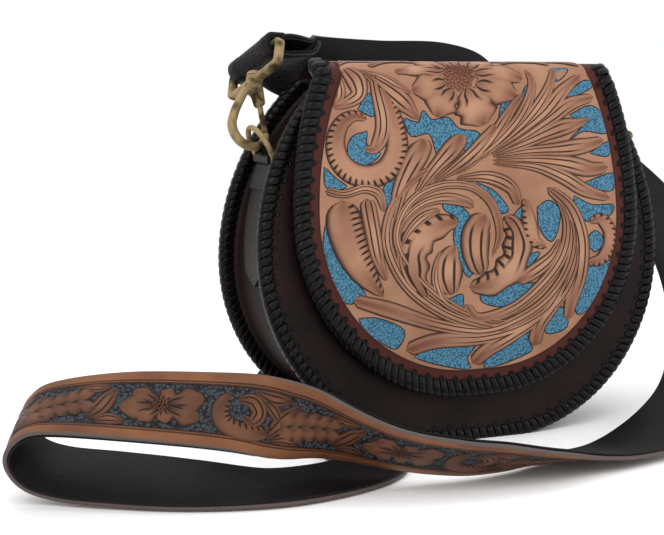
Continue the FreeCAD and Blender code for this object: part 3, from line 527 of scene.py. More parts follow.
def strap_leather(name):
    """The strap's outside: plain tan margins, two dark lines, then darker antiqued ground, by the
    distance from its middle; black near the bars, by the distance from the nearer end."""
    material, graph = new_material(name)
    grain = graph.use(GRAIN, Depth=0.00012)
    stipple = graph.use(STIPPLE)
    spot = graph.node("ShaderNodeSeparateXYZ", {0: graph.node("ShaderNodeUVMap").outputs[0]})
    off = graph.sum("ABSOLUTE", spot.outputs[1])
    tan = graph.blend(grain["Mottle"], tint(120, 78, 52), tint(98, 61, 41))
    ground = graph.blend(stipple["Rim"], tint(56, 61, 68), tint(20, 14, 12))
    tooled = graph.step(off, TOOLED_HALF, TOOLED_HALF - 0.4)
    colour = graph.blend(tooled, tan, ground)

    def line(place, outer, inner):
        return graph.step(graph.sum("ABSOLUTE", graph.sum("SUBTRACT", off, place)), outer, inner)

    lines = graph.sum("MAXIMUM", line(TOOLED_HALF + 1.2, 0.5, 0.2), line(TOOLED_HALF - 0.2, 0.7, 0.3))
    colour = graph.blend(graph.sum("MULTIPLY", lines, 0.85), colour, tint(44, 24, 17))
    colour = graph.blend(graph.step(off, STRAP_HALF - 1.0, STRAP_HALF - 0.2), colour, tint(84, 76, 74))
    colour = graph.blend(graph.step(spot.outputs[0], PLAIN_END + 1, PLAIN_END), colour, tint(20, 16, 16))
    height = graph.sum("SUBTRACT", graph.sum("MULTIPLY", stipple["Rim"], tooled), lines)
    return finish_leather(material, graph, colour, graph.bump(height, 0.0004, 1.0, grain["Normal"]), 0.48)


def aged_metal(name, bright, dark, roughness):
    """Antique plating: bright metal with dark patches, rougher where it is darker."""
    material, graph = new_material(name)
    aged = graph.use(AGED)
    graph.fill(graph.shader(), {"Base Color": graph.blend(aged["Dark"], tint(*bright), tint(*dark)),
                                "Roughness": graph.sum("ADD", aged["Rough"], roughness),
                                "Normal": aged["Normal"], "Metallic": 1.0})
    return material


DARK = plain_leather("dark brown leather", (20, 10, 10), (31, 16, 14), 0.5)
BLACK = plain_leather("black leather", (13, 11, 13), (20, 17, 19), 0.55)
LACE = plain_leather("black lace", (8, 6, 6), (14, 11, 11), 0.3, 0.0003, 500.0)
LINING = plain_leather("lining leather", (26, 22, 21), (38, 33, 31), 0.6)
TAB = plain_leather("tab leather", (16, 11, 11), (28, 20, 18), 0.4)
FLAP_SKIN = flap_leather("flap leather")
# The third colour is the burnt dye, also used as painted shade toward the leaves' edges.
FLAP_TOOLING = tooled_leather("flap tooling", (172, 130, 104), (152, 111, 88), (88, 42, 28), (22, 10, 6))
BLUE = stippled_ground("blue stippled ground", (80, 130, 156), (44, 84, 106), 900.0)
STRAP_SKIN = strap_leather("strap leather")
# Here too the third colour is the burnt dye and the painted shade toward the leaves' edges.
STRAP_TOOLING = tooled_leather("strap tooling", (104, 68, 48), (84, 53, 38), (34, 19, 14), (16, 9, 7))
SEEDS = plain_leather("flower seeds", (130, 86, 70), (92, 54, 42), 0.5)
STRAP_SEEDS = plain_leather("strap flower seeds", (88, 55, 40), (58, 34, 25), 0.5)
BRASS = aged_metal("antique brass", (172, 152, 116), (80, 66, 48), 0.14)
STEEL = aged_metal("spring steel", (150, 150, 150), (90, 90, 92), 0.2)

for name, obj in nodes.items():
    if "lining" in name:
        skin = LINING
    elif name.startswith("ring_tab"):
        skin = TAB
    elif "spring" in name:
        skin = STEEL
    elif name.startswith(("snap", "gate_pin", "swivel", "hook", "ring")):
        skin = BRASS
    else:
        skin = DARK
    obj.data.materials.clear()
    obj.data.materials.append(skin)


def settle(obj, body, slot, *replaced):
    """Puts a made piece on its body and hides the plain nodes that it stands for. The slot is not used."""
    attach(obj, body)
    if replaced:
        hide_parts(*replaced)


# Gusset

def gusset():
    """The gusset as a sheet: along it runs the bag's edge, across it a channel section from the front
    seam's flange, round onto the web, which sags a little, and out to the back seam's flange."""
    count = 150
    sag = 1.2

    def row(face, inset, depth):
        edge = BAG.edge(inset, count)
        return face.spot(edge[:, 0], edge[:, 1], -depth)

    heading = headings(BAG.edge(8, count))
    inward = np.stack([-heading[:, 1], np.zeros(count), heading[:, 0]], axis=-1)

    def section(web_inset, flange_depth):
        turn = ((0.3, flange_depth), (3, flange_depth), (web_inset - 2, flange_depth + 0.2),
                (web_inset - 0.5, flange_depth + 1.4), (web_inset, flange_depth + 4))
        front = [row(FRONT, *place) for place in turn]
        back = [row(BACK, *place) for place in turn]
        web = []
        for share in (0.15, 0.32, 0.5, 0.68, 0.85):
            middle = front[-1] * (1 - share) + back[-1] * share
            web.append(middle + inward * sag * 4 * share * (1 - share))
        return front + web + back[::-1]

    outside = section(8.2, SEAM_LEATHER)
    inside = section(11, 2.6)
    sheet = Patches()
    loop = np.stack(outside + inside[::-1], axis=1)
    slots = np.array([0] * len(outside) + [1] * len(inside))
    sheet.grid(loop, round_trip=True, caps=True, slot=slots)
    settle(sheet.piece("gusset_leather", DARK, LINING), "bag", "dark_leather", "gusset", "gusset_lining")


gusset()


# Lacing

SEAM_TURNS = 120
FLAP_TURNS = 104
HOLE_RIM = ((1.75, 0.0), (1.65, 0.4), (1.2, 0.5), (0.85, 0.12), (0.05, 0.06))


def lacing(name, spots, out, high, low, reach, half, slant, holes_above=True):
    """Whip-stitched lace: each turn is a flat strip that leaves a hole in one face, passes over the edge
    and enters the other face, leaning along the edge as it goes. Every second hole shows, with its rim."""
    out = np.broadcast_to(out, spots.shape)
    hole_level, hole_side = (high, 1) if holes_above else (low, -1)
    along = headings(spots)
    outward = np.cross(along, out)
    middle = (high + low) / 2
    bend = smooth([(-reach, high - 0.5), (-reach + 0.9, high + 0.5), (-1.4, high + 0.75), (0.7, high + 0.1),
                   (1.15, middle), (0.7, low - 0.1), (-1.4, low - 0.75), (-reach + 0.9, low - 0.5),
                   (-reach, low + 0.5)], 1)
    facing = headings(bend)
    normal = np.stack([-facing[:, 1], facing[:, 0]], axis=-1)
    lean = slant * np.linspace(-0.5, 0.5, len(bend))
    width = half * np.minimum(1, 0.55 + 0.45 * np.linspace(0, 4, len(bend)))
    width = np.minimum(width, width[::-1])
    angle = np.linspace(0, 2 * math.pi, 8, endpoint=False)
    patches = Patches()
    for order, (spot, run, edge, rise) in enumerate(zip(spots, along, outward, out)):
        flat = bend[:, None] + normal[:, None] * (0.6 * np.sin(angle))[None, :, None]
        shift = lean[:, None] + width[:, None] * np.cos(angle)[None]
        points = spot + flat[..., :1] * edge + flat[..., 1:] * rise + shift[..., None] * run
        points[..., 2] = np.maximum(points[..., 2], 0.05)
        patches.grid(points, round_trip=True, caps=True)
        if order % 2:
            hole = spot - edge * (reach + 0.8) + rise * hole_level + run * lean[0]
            turned(patches, hole, rise * hole_side, HOLE_RIM, corners=10)
    return patches.piece(name, LACE)


def seam(name, face):
    """The lace of one seam, at equal steps round the bag's edge on the given face."""
    edge = BAG.edge(0, SEAM_TURNS + 2)
    spots = face.spot(edge[1:-1, 0], edge[1:-1, 1])
    out = face.out if face is FRONT else -face.out
    high, low = (0.0, -SEAM_LEATHER) if face is FRONT else (SEAM_LEATHER, 0.0)
    return lacing(name, spots, out, high, low, reach=6.4, half=2.5, slant=8.0, holes_above=face is FRONT)


settle(seam("front_lace", FRONT), "bag", "lace", "front_seam_lacing")
settle(seam("back_lace", BACK), "bag", "lace", "back_seam_lacing")


def flap_lace():
    """The lace round the flap's edge. At each side it climbs over the bend and stops just short of the
    flat top."""
    front_edge = FLAP.edge(0.4, FLAP_TURNS)
    pitch = np.linalg.norm(front_edge[1] - front_edge[0])
    climb = np.arange(FLAP.top + pitch, top_start - 3, pitch)
    half = np.full(len(climb), front_edge[-1, 0])
    left = np.stack([-half, climb], axis=-1)[::-1]
    edge = np.concatenate([left, front_edge, left[::-1] * [-1, 1]])
    spots = flap_spot(edge[:, 0], edge[:, 1])
    out = flap_spot(edge[:, 0], edge[:, 1], 1.0) - spots
    return lacing("flap_lace", spots, out, 0.0, -FLAP_THICK, reach=7.6, half=2.5, slant=9.0)


settle(flap_lace(), "flap", "lace", "flap_lacing")


# Flap

def flap():
    """The flap as a closed slab: rows climb its run, each row goes across the outside and back across
    the lining, with the edges rounded over."""
    low = FLAP.waist - FLAP.low_radius * np.cos(np.linspace(0, math.pi / 2, 30))
    runs = np.concatenate([low, np.linspace(FLAP.waist, bend_start, 22)[1:],
                           np.linspace(bend_start, top_start, 14)[1:],
                           np.linspace(top_start, tail_start, 12)[1:],
                           np.linspace(tail_start, hang_start, 9)[1:],
                           np.linspace(hang_start, hang_start + TAIL_RUN, 6)[1:]])
    share = np.linspace(-1, 1, 61)
    half = FLAP.half_width(runs)
    drawn_in = np.clip((runs - top_start) / TOP_RUN, 0, 1)
    half = half + (FOLD_HALF - half) * drawn_in - 3 * np.clip((runs - tail_start) / 20, 0, 1)
    thick = np.where(runs > tail_start - 3, TAIL_THICK, FLAP_THICK)
    outer_x = (half - 0.8)[:, None] * share
    edge_x = np.stack([half, half], axis=1)
    x = np.concatenate([outer_x, edge_x, outer_x[:, ::-1], -edge_x], axis=1)
    zero = np.zeros_like(outer_x)
    deep = np.repeat(-thick[:, None], len(share), axis=1)
    edge_rise = np.stack([np.full(len(runs), -0.8), 0.8 - thick], axis=1)
    rise = np.concatenate([zero, edge_rise, deep, edge_rise[:, ::-1]], axis=1)
    run = np.repeat(runs[:, None], x.shape[1], axis=1)
    slots = np.array([0] * (len(share) + 1) + [1] * (len(share) + 1) + [0, 0])
    slab = Patches("margin")
    slab.grid(flap_spot(x, run, rise), spots=np.stack([x, run], axis=-1), round_trip=True, caps=True,
              slot=slots, margin=FLAP.margin(x, run))
    return slab.piece("flap_leather", FLAP_SKIN, LINING)


flap_piece = flap()
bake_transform(flap_piece)
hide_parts("flap_outer", "flap_lining")


# Tooling

DRAWING_X = (-104.76, 1.2345, -0.0583, 0.00108)
DRAWING_RUN = (207.23, 0.0144, -1.1464, -0.00094)


def drawing_to_flap(drawing, rise):
    """Places a drawing point (a to the right, b down) on the flap: x is a constant and shares of a, b and
    a squared, the run a constant and shares of a, b and a times b. A point past the border moves inside."""
    a, b = drawing[..., 0], drawing[..., 1]
    x = DRAWING_X[0] + DRAWING_X[1] * a + DRAWING_X[2] * b + DRAWING_X[3] * a * a
    run = DRAWING_RUN[0] + DRAWING_RUN[1] * a + DRAWING_RUN[2] * b + DRAWING_RUN[3] * a * b
    for _ in range(3):
        short = np.maximum(BORDER + 0.4 - FLAP.margin(x, run), 0)
        low = run < FLAP.waist
        centre_x = np.where(low, FLAP.flat, FLAP.inner) * np.sign(x)
        to_x, to_run = centre_x - x, FLAP.waist - np.minimum(run, FLAP.top)
        length = np.hypot(to_x, to_run) + 1e-6
        x = x + short * to_x / length
        run = run + np.where(run > FLAP.top, 0, short * to_run / length)
    return flap_spot(x, run, rise)


PROFILE_STEPS = 12
PROFILE_POINTS = 40
LEAF_ACROSS = np.array([-1, -0.92, -0.7, -0.4, 0, 0.4, 0.7, 0.92, 1])


def leaf(patches, place, spine, widths, hatch=0, side=1, vein=0.85, burn=0.85, foot=0.7, crown=0.9,
         lift=0.0, wave=0.0, rows=26, slot=0):
    """A raised leaf: a smooth centre line, a width that follows the given half widths and rounds off at
    the ends, and a cushioned section, (1 - |v|^2.2)^0.4 of the crown."""
    line = evenly(smooth(spine, 8), rows)
    heading = headings(line)
    normal = np.stack([-heading[:, 1], heading[:, 0]], axis=-1)
    u = np.linspace(0, 1, rows)
    profile = smooth(np.array(widths, float)[:, None], PROFILE_STEPS)[:, 0]
    picked = np.linspace(0, len(profile) - 1, PROFILE_POINTS).round().astype(int)
    half = np.interp(u, np.linspace(0, 1, PROFILE_POINTS), profile[picked])
    length = np.sum(np.linalg.norm(np.diff(line, axis=0), axis=1))
    for end, reach in ((u, widths[0] / length), (1 - u, widths[-1] / length)):
        reach = max(min(reach, 0.4), 1e-3)
        half = half * np.sqrt(np.clip(1 - np.clip(1 - end / reach, 0, 1) ** 2, 0.0, 1))
    half = np.maximum(half, 0.05)
    if wave:
        half = half * (1 + 0.13 * np.sin(u * wave * 2 * math.pi))
    v = LEAF_ACROSS
    flat = line[:, None] + normal[:, None] * (half[:, None] * v)[..., None]
    rise = lift - 0.2 + (crown * np.minimum(1, half / 1.6)[:, None] + 0.2) * (1 - np.abs(v) ** 2.2) ** 0.4
    points = place(flat, rise)
    half_way = rows // 2
    here = points[half_way, 4]
    outward = place(flat[half_way, 4], rise[half_way, 4] + 1) - here
    facing = np.cross(points[half_way, 5] - here, points[half_way + 1, 4] - here)
    spots = np.stack(np.broadcast_arrays(u[:, None], v), axis=-1)
    if np.dot(facing, outward) > 0:
        points, spots = points[:, ::-1], spots[:, ::-1]
    patches.grid(points, spots=spots, slot=slot, hatch=hatch, side=side, vein=vein, burn=burn, foot=foot)


GAP_CUT = 0.5
CUT_SPOT = (0.5, 1.0)


def gap(patches, place, outline, slot=1):
    """A stippled gap between leaves: a smooth closed outline, flat and just above the leather, with a
    narrow dark cut round it, moved out along the outline's normals."""
    ring = smooth(np.vstack([outline, outline[:1]]), 4)[:-1]
    points = place(ring, np.full(len(ring), 0.12))
    patches.add(points, [list(range(len(ring)))[::-1]], slot=slot)
    after = np.roll(ring, -1, axis=0)
    turning = np.sign(np.sum(ring[:, 0] * after[:, 1] - ring[:, 1] * after[:, 0]))
    heading = headings(ring, closed=True)
    outward = np.stack([heading[:, 1], -heading[:, 0]], axis=-1) * turning
    wide = place(ring + outward * GAP_CUT, np.full(len(ring), 0.06))
    cut = np.stack([points, wide] if turning > 0 else [wide, points])
    patches.grid(cut, spots=np.tile(CUT_SPOT, (cut[..., 0].size, 1)), round_trip=True)


GOLDEN_ANGLE = 2.39996


def seed_disc(patches, place, middle, radius, size, slot=2):
    """A flower's middle: small domes on a spiral, each turned a golden angle from the last."""
    middle = np.array(middle, float)
    count = int((radius / size) ** 2 * 0.8)
    for k in range(count):
        turn = k * GOLDEN_ANGLE
        spot = middle + radius * math.sqrt((k + 0.5) / count) * np.array([math.cos(turn), math.sin(turn)])
        leaf(patches, place, [spot - [size, 0], spot, spot + [size, 0]], (size, size, size), vein=0, burn=0,
             foot=0, crown=0.7, lift=0.75, rows=6, slot=slot)


def drawn(*points, **look):
    """A leaf of a drawing, from its (a, b, half width) points and the rest of its look."""
    points = np.array(points, float)
    return dict(spine=points[:, :2], widths=points[:, 2], **look)


MARK_VALUES = ("hatch", "side", "vein", "burn", "foot")
FLAP_FULLNESS = 1.1

BLUE_GAPS = (
    ((50, 26), (57, 28), (59, 23), (63, 27), (70, 26), (75, 31), (84, 33), (79, 41), (71, 35), (66, 43),
     (62, 33), (54, 34)),
    ((30, 22), (35, 15), (37, 25)),
    ((92, 34), (94, 20), (99, 19), (96, 31)),
    ((102, 18), (105, 12), (107, 16), (104, 20)),
    ((117, 4), (124, 4), (118, 10)),
    ((121, 17), (130, 10), (134, 12), (127, 16)),
    ((124, 25), (133, 21), (139, 26), (140, 33), (130, 32), (124, 36), (130, 29)),
    ((133, 42), (141, 37), (141, 43)),
    ((131, 55), (143, 51), (143, 58), (137, 58)),
    ((126, 61), (134, 65), (143, 65), (141, 70), (132, 72), (127, 68)),
    ((132, 93), (142, 90), (139, 103), (130, 113), (127, 110)),
    ((118, 111), (122, 111), (123, 119), (115, 122), (114, 118)),
    ((109, 113), (106, 124), (107, 130), (90, 137), (87, 135), (94, 127), (103, 118)),
    ((56, 133), (65, 127), (83, 125), (79, 133), (80, 138), (66, 136)),
    ((31, 116), (40, 116), (51, 121), (48, 129), (42, 127), (34, 122)),
    ((16, 72), (20, 86), (26, 96), (34, 106), (25, 109), (20, 101), (15, 85)),
    ((15, 48), (20, 53), (25, 57), (16, 57)),
    ((53, 46), (49, 54), (44, 65), (42, 64), (42, 57), (48, 50)),
    ((34, 32), (27, 35), (26, 43), (33, 47), (40, 42), (34, 38)),
    ((68, 63), (75, 65), (80, 70), (79, 77), (83, 86), (80, 97), (75, 88), (73, 78), (75, 71), (69, 67)),
    ((49, 80), (54, 74), (59, 72), (54, 79)),
    ((83, 55), (91, 59), (97, 67), (92, 68), (87, 61)),
    ((99, 70), (104, 65), (105, 71)),
    ((110, 66), (115, 63), (119.5, 67), (119, 75), (116, 81), (111, 75)),
    ((85, 104), (95, 100), (105, 100), (112, 100), (105, 108), (94, 110), (86, 108)),
    ((71, 107), (77, 105), (76, 112), (72, 110)),
    ((104, 88), (111, 86), (106, 92)),
    ((131, 81), (135.5, 76.5), (139, 81), (135.5, 85.5)),
)

FLAP_LEAVES = (
    # Left scroll, its inner curl and the leaves above it
    drawn((38.5, 9, 1.2), (43, 18, 2.6), (46.5, 29, 3.6), (47.5, 40, 4.4), (43.5, 48.5, 5), (36, 52, 5.2),
          (27.5, 50.5, 5), (21.5, 44.5, 4.8), (19.8, 36, 4.5), (22.5, 28.5, 4), (28, 25, 3),
          (34, 26.5, 1.2), hatch=260, side=-1, vein=0, rows=70),
    drawn((36, 5, 1.5), (38.5, 15, 2.6), (41, 26, 3.2), (40.5, 34, 3.4), (37, 40, 3.2), (32.5, 39.5, 0.8)),
    drawn((17, 5, 2), (20, 10, 3), (21, 16, 3), (18, 21, 1.5)),
    drawn((24, 3, 3), (29, 9, 4.5), (30, 15.5, 3.6), (24, 19.5, 2.5), (18.5, 21, 1)),
    drawn((30, 4, 0.8), (40, 7.5, 1.6), (48, 12, 2), (54, 15, 0.6)),
    drawn((34, 7, 1.2), (42, 12.5, 3.6), (50, 19, 4), (57.5, 27, 0.4)),
    # Flower petals
    drawn((68, 5, 2.5), (58, 4, 3), (47, 5, 1.5), wave=2, vein=0.45),
    drawn((82, 6.5, 3), (92, 5.5, 4.5), (103, 9, 2.5), wave=2, vein=0.45),
    drawn((69, 10, 4), (61, 12, 6), (54, 13.5, 4), wave=2, vein=0.45),
    drawn((82, 11, 4), (91, 13, 6.2), (100, 16.5, 4.2), wave=2, vein=0.45),
    drawn((72, 13, 4), (67.5, 19, 7), (65, 25.5, 5), wave=2, vein=0.45),
    drawn((78, 13, 4), (82, 21, 8.5), (86, 29.5, 6.5), wave=3, vein=0.45),
    drawn((70, 4, 3), (64, -2, 6), (60, -8, 4), wave=2, vein=0.45),
    drawn((80, 4, 3), (86, -2, 6), (92, -7, 4), wave=2, vein=0.45),
    drawn((75, 3, 3), (75.5, -4, 7), (76, -12, 5), wave=3, vein=0.45),
    # Fan of long leaves to the right
    drawn((70, 52, 0.6), (80, 46, 1.8), (89, 36, 2.4), (95, 27, 2.6), (99.5, 20, 2.4), (103, 15.5, 1.2)),
    drawn((74, 50, 0.6), (86, 42, 1.6), (97, 32, 2.2), (104, 22, 2.4), (107, 12, 2.2), (105, 4, 0.8)),
    drawn((88, 42, 0.6), (98, 34, 1.6), (106, 26, 2.2), (113, 16, 2.6), (116, 8, 2.2), (117, 3, 0.8)),
    drawn((89, 42, 0.6), (102, 33, 1.8), (113, 24, 2.8), (121, 14, 3.2), (129, 7, 1.2)),
    drawn((89.5, 42.5, 0.6), (103, 35, 1.8), (116, 26, 2.6), (124, 20, 3.2), (134.5, 17, 1.6)),
    drawn((90, 43, 0.6), (105, 37, 2), (119, 31, 2.8), (128, 28.5, 3.6), (133, 26, 0.3)),
    drawn((90, 43.5, 0.6), (106, 41, 1.8), (121, 40, 2.6), (131, 38.5, 3.6), (139, 36, 1.8)),
    drawn((90, 45, 0.6), (108, 45, 1.8), (122, 46.5, 2.8), (133, 49, 3.8), (141, 48, 2)),
    drawn((90, 46.5, 0.6), (108, 47.5, 1.8), (121, 52.5, 2.8), (131, 58.5, 3), (142, 62, 1.6)),
    # Leaves rising from the stem
    drawn((46, 72, 1.5), (49, 58, 3), (54, 47, 4), (58.5, 39, 5), (58.5, 35, 4)),
    drawn((56, 60, 1), (63, 50, 2.4), (70, 42, 3.2), (75, 36, 4.2), (75.5, 33, 3.4)),
    drawn((64, 55, 0.8), (75, 47, 2), (83, 40, 2.8), (89, 33, 3.2), (91.5, 29, 1.8)),
    # Feathered leaf on the left and the stem over it
    drawn((15.5, 58.5, 1.8), (24, 60, 1.8), (33, 57.5, 2), (39.5, 60, 2.2), (42, 68, 1)),
    drawn((34, 62, 3.5), (36.5, 75, 3.5), (39, 88, 3), (43, 99, 1)),
    drawn((23, 63, 6.4), (24.5, 75, 8), (29, 88, 7.4), (35, 98, 5.4), (42, 106, 1), hatch=105, side=-1,
          vein=0),
    # Swirling stem
    drawn((106, 121, 0.8), (88, 119.5, 1.6), (70, 114, 2.2), (55, 104, 2.4), (46.5, 92, 2.4), (43, 79, 2.4),
          (46, 65.5, 2.4), (53, 55, 2), (63, 48, 1), rows=50),
    drawn((104, 117.5, 0.8), (88, 116.5, 1.4), (73, 110.5, 1.8), (60, 100.5, 2), (51.5, 90, 2),
          (47.5, 80, 1.8), (50, 69, 1.7), (57, 60.5, 1.7), (68, 56, 1.8), (80, 56.5, 1.9), (88, 62, 1.9),
          (92, 70, 1.9), (93, 79, 1.6), (90, 88, 0.6), rows=60),
    drawn((47, 84, 0.8), (50, 73, 1.4), (58, 65, 1.6), (68, 62, 2), (78, 63.5, 2.6), (82, 66, 1.6)),
    drawn((49, 86, 0.6), (53, 77, 1.6), (60, 70, 2.2), (67, 67, 1)),
    drawn((74, 53, 0.8), (88, 52.5, 2.4), (98, 57, 3), (101.5, 65, 1.8)),
    # Left bud
    drawn((62, 109, 0.6), (52.5, 99, 1.6), (48.8, 88, 1.8), (50, 81, 0.6)),
    drawn((61, 107, 2), (55.5, 97, 5.6), (55, 86, 6.8), (60, 78, 6.4), (68, 73.5, 5), (75, 72, 3), hatch=60,
          side=-1, vein=0.6, wave=4),
    drawn((72, 105, 2.6), (70.5, 97, 6), (71, 89, 5.6), (73.5, 83, 1.4)),
    drawn((79, 114, 1.2), (69, 108, 1.8), (65, 99, 1.9), (65.5, 91, 1.6), (67.5, 85, 0.6)),
    # Right bud
    drawn((85, 96, 3.6), (82.5, 86, 5.6), (83, 76, 6), (87, 69, 3.6)),
    drawn((95, 70, 2.4), (100, 76, 5), (101, 86, 6), (97, 94.5, 6), (89.5, 100, 4.8), (80, 101.5, 3),
          hatch=55, side=1, vein=0.6, wave=4),
    drawn((104, 62, 1.2), (106, 71, 2.8), (108, 80, 3.2), (114, 84, 0.8), hatch=60, side=1, vein=0),
    # Stems down the right and the leaves that sweep along the bottom
    drawn((127, 76, 0.8), (127, 92, 1.8), (119, 108, 2), (104, 119, 2.2), (86, 124.5, 2.4),
          (66, 125.5, 3.4), (52, 130, 3), rows=44),
    drawn((122, 104, 0.6), (111, 115, 1.8), (99, 123, 2.4), (88, 129.5, 3.2), (81.5, 135.5, 2.8)),
    drawn((124, 95, 0.8), (118, 108, 2.2), (111, 118, 3), (108.5, 127.5, 2.8)),
    drawn((123, 66, 0.8), (126, 80, 2), (123, 94, 2.2), (114, 107, 2.2), (101, 116, 2.2), (86, 121, 2.4),
          (66, 118.5, 3), (45, 112, 3.6), (28, 107.5, 2.6), rows=50),
    drawn((118, 60, 0.8), (123, 73, 2), (121, 87, 2.4), (112, 100, 2.4), (99, 111, 2.4), (84, 115.5, 2.6),
          (78, 109, 2.2), rows=40),
    drawn((120, 80, 0.8), (116, 88, 2.4), (109, 94, 3.2), (101, 99, 2.4)),
    drawn((114, 57, 1.6), (124, 66, 3), (129, 80, 3.4), (128.5, 95, 3.4), (125, 107, 3.2),
          (123, 116.5, 1.6)),
    # Right scroll
    drawn((132, 90.5, 1.5), (138, 89, 2.6), (141.5, 83, 2.8), (141.5, 76, 2.8), (137.5, 71, 2.6),
          (132.5, 72.5, 1), hatch=90, side=1, vein=0),
    # Leaves over the top
    drawn((20, 2, 1), (30, -8, 3.5), (44, -13, 4), (58, -10, 1)),
    drawn((36, 2, 1), (44, -4, 2.4), (52, -5, 2.4), (58, -2, 0.8)),
    drawn((94, -10, 1), (106, -13, 3.6), (120, -8, 4), (130, 2, 1)),
    drawn((96, 0, 0.8), (103, -5, 2.4), (111, -4, 2.6), (117, 1, 0.8)),
    drawn((24, -22, 1), (44, -24, 4), (62, -20, 4), (74, -26, 1)),
    drawn((78, -26, 1), (92, -20, 4), (108, -24, 4), (124, -20, 1)),
)


def flap_tooling():
    """The flap's carving: the gaps, then the leaves, each a hair above the last, and the flower's seeds."""
    patches = Patches(*MARK_VALUES)
    for outline in BLUE_GAPS:
        gap(patches, drawing_to_flap, np.array(outline, float))
    for order, shape in enumerate(FLAP_LEAVES):
        shape = {**shape, "widths": np.multiply(shape["widths"], FLAP_FULLNESS)}
        leaf(patches, drawing_to_flap, lift=0.004 * order, **shape)
    seed_disc(patches, drawing_to_flap, (75, 7.5), 6.6, 0.75)
    return patches.piece("flap_tooling", FLAP_TOOLING, BLUE, SEEDS, closed=False)


settle(flap_tooling(), "flap", "tooled_leather")


# Hardware

class Hook:
    """The frame that one snap hook is drawn in: its foot, across the hook, along the strap bar and up
    the stem, taken from its swivel and gate joints."""

    def __init__(self, side):
        swivel, pivot = joints[f"hook_swivel_{side}"], joints[f"gate_{side}_pivot"]
        self.foot = np.array(swivel["pos_m"]) / MM
        self.stem = unit(swivel["axis"])
        self.bar = unit(pivot["axis"])
        self.across = np.cross(self.bar, self.stem)

    def spot(self, across, bar, up):
        """The point that far across the hook, along the bar and up the stem."""
        across, bar, up = np.broadcast_arrays(np.asarray(across, float), bar, up)
        return (self.foot + across[..., None] * self.across + bar[..., None] * self.bar
                + up[..., None] * self.stem)


def rounded_path(corners, radius, steps=6):
    """A closed flat path through the corners with each one rounded."""
    corners = np.asarray(corners, float)
    points = []
    for before, here, after in zip(np.roll(corners, 1, axis=0), corners, np.roll(corners, -1, axis=0)):
        start = here + unit(before - here) * radius
        end = here + unit(after - here) * radius
        for t in np.linspace(0, 1, steps):
            points.append((1 - t) ** 2 * start + 2 * t * (1 - t) * here + t * t * end)
    return np.array(points)


BOW_RADIUS = 10.6
BOW_UP = 12.7
HOOK_SPINE = ((-BOW_RADIUS, BOW_UP), (-9.6, 20), (-7.4, 28), (-5, 35), (-2.6, 40.5))
HOOK_PLATE = ((-6.4, 33), (-4.4, 42), (4.4, 42), (7.4, 31), (6.2, 28.6), (3.2, 28.6), (0.6, 34), (-3, 35))
PLATE_MIDDLE = np.array([0.0, 37.5])
PLATE_FACE = 2.45
PLATE_EDGE = ((0.95, -2.5), (0.4, -2.5), (0.06, -PLATE_FACE), (0.0, -1.9), (0.0, 1.9), (0.06, PLATE_FACE),
              (0.4, 2.5), (0.95, 2.5))
PIN_ACROSS = 4.6
PIN_UP = 31.0
RIVET = ((1.9, 0), (1.9, 0.35), (1.5, 0.75), (0.7, 0.95), (0.1, 1.0))
GATE_LINE = ((10.3, 14.2), (PIN_ACROSS, 31.2))
EYE_HALF = 23.2
EYE_LOW = 43.8
EYE_CORNER = 3.2
BAR_UP = 58.3
COLLAR_UP = 42.35
COLLAR = ((3.4, 0), (4.6, 0.5), (4.6, 2.4), (3.6, 3.4), (2.4, 3.6))
RING_RADIUS = 12.2
RING_LEGS = 6.5
RING_CORNER = 3.2
RING_WIRE = 1.5


def hook_body(hook):
    """A half circle of squared bar that runs on into a leaning spine, and a plate at its shoulder whose
    outline is drawn in toward its middle on each face."""
    turn = np.radians(np.linspace(2, -180, 40))
    bow = np.stack([BOW_RADIUS * np.cos(turn), BOW_UP + BOW_RADIUS * np.sin(turn)], axis=-1)
    path = np.concatenate([bow, smooth(HOOK_SPINE, 6)[1:]])
    width = np.interp(np.arange(len(path)), (0, 5, len(path)), (1.6, 2.1, 2.2))
    body = Patches()
    tube(body, hook.spot(path[:, 0], 0.0, path[:, 1]), hook.bar, width, 2.5, squareness=3.2)
    plate = evenly(rounded_path(HOOK_PLATE, 0.9), 48)
    rings = []
    for inset, depth in PLATE_EDGE:
        flat = plate + (PLATE_MIDDLE - plate) * inset
        rings.append(hook.spot(flat[:, 0], depth, flat[:, 1]))
    body.grid(np.stack(rings), round_trip=True, caps=True)
    return body


def hook_rivet(hook):
    """The gate pin's two heads: turned domes on the plate's faces."""
    rivet = Patches()
    for face in (1, -1):
        turned(rivet, hook.spot(PIN_ACROSS, PLATE_FACE * face, PIN_UP), hook.bar * face, RIVET)
    return rivet


def hook_gate(hook):
    """A straight bar from the bow's tip to the pin, slimmer toward the pin."""
    line = np.linspace(*GATE_LINE, 14)
    gate = Patches()
    tube(gate, hook.spot(line[:, 0], 0.0, line[:, 1]), hook.bar, np.linspace(1.8, 1.5, 14), 1.2)
    return gate


def swivel_eye(hook):
    """A rounded rectangle of bar for the strap, on a turned collar round the stem."""
    corners = [(-EYE_HALF, EYE_LOW), (EYE_HALF, EYE_LOW), (EYE_HALF, BAR_UP), (-EYE_HALF, BAR_UP)]
    loop = rounded_path(corners, EYE_CORNER, 8)
    eye = Patches()
    tube(eye, hook.spot(0.0, loop[:, 0], loop[:, 1]), hook.across, 2.0, 2.5, closed=True, squareness=3.4)
    turned(eye, hook.spot(0.0, 0.0, COLLAR_UP), hook.stem, COLLAR)
    return eye


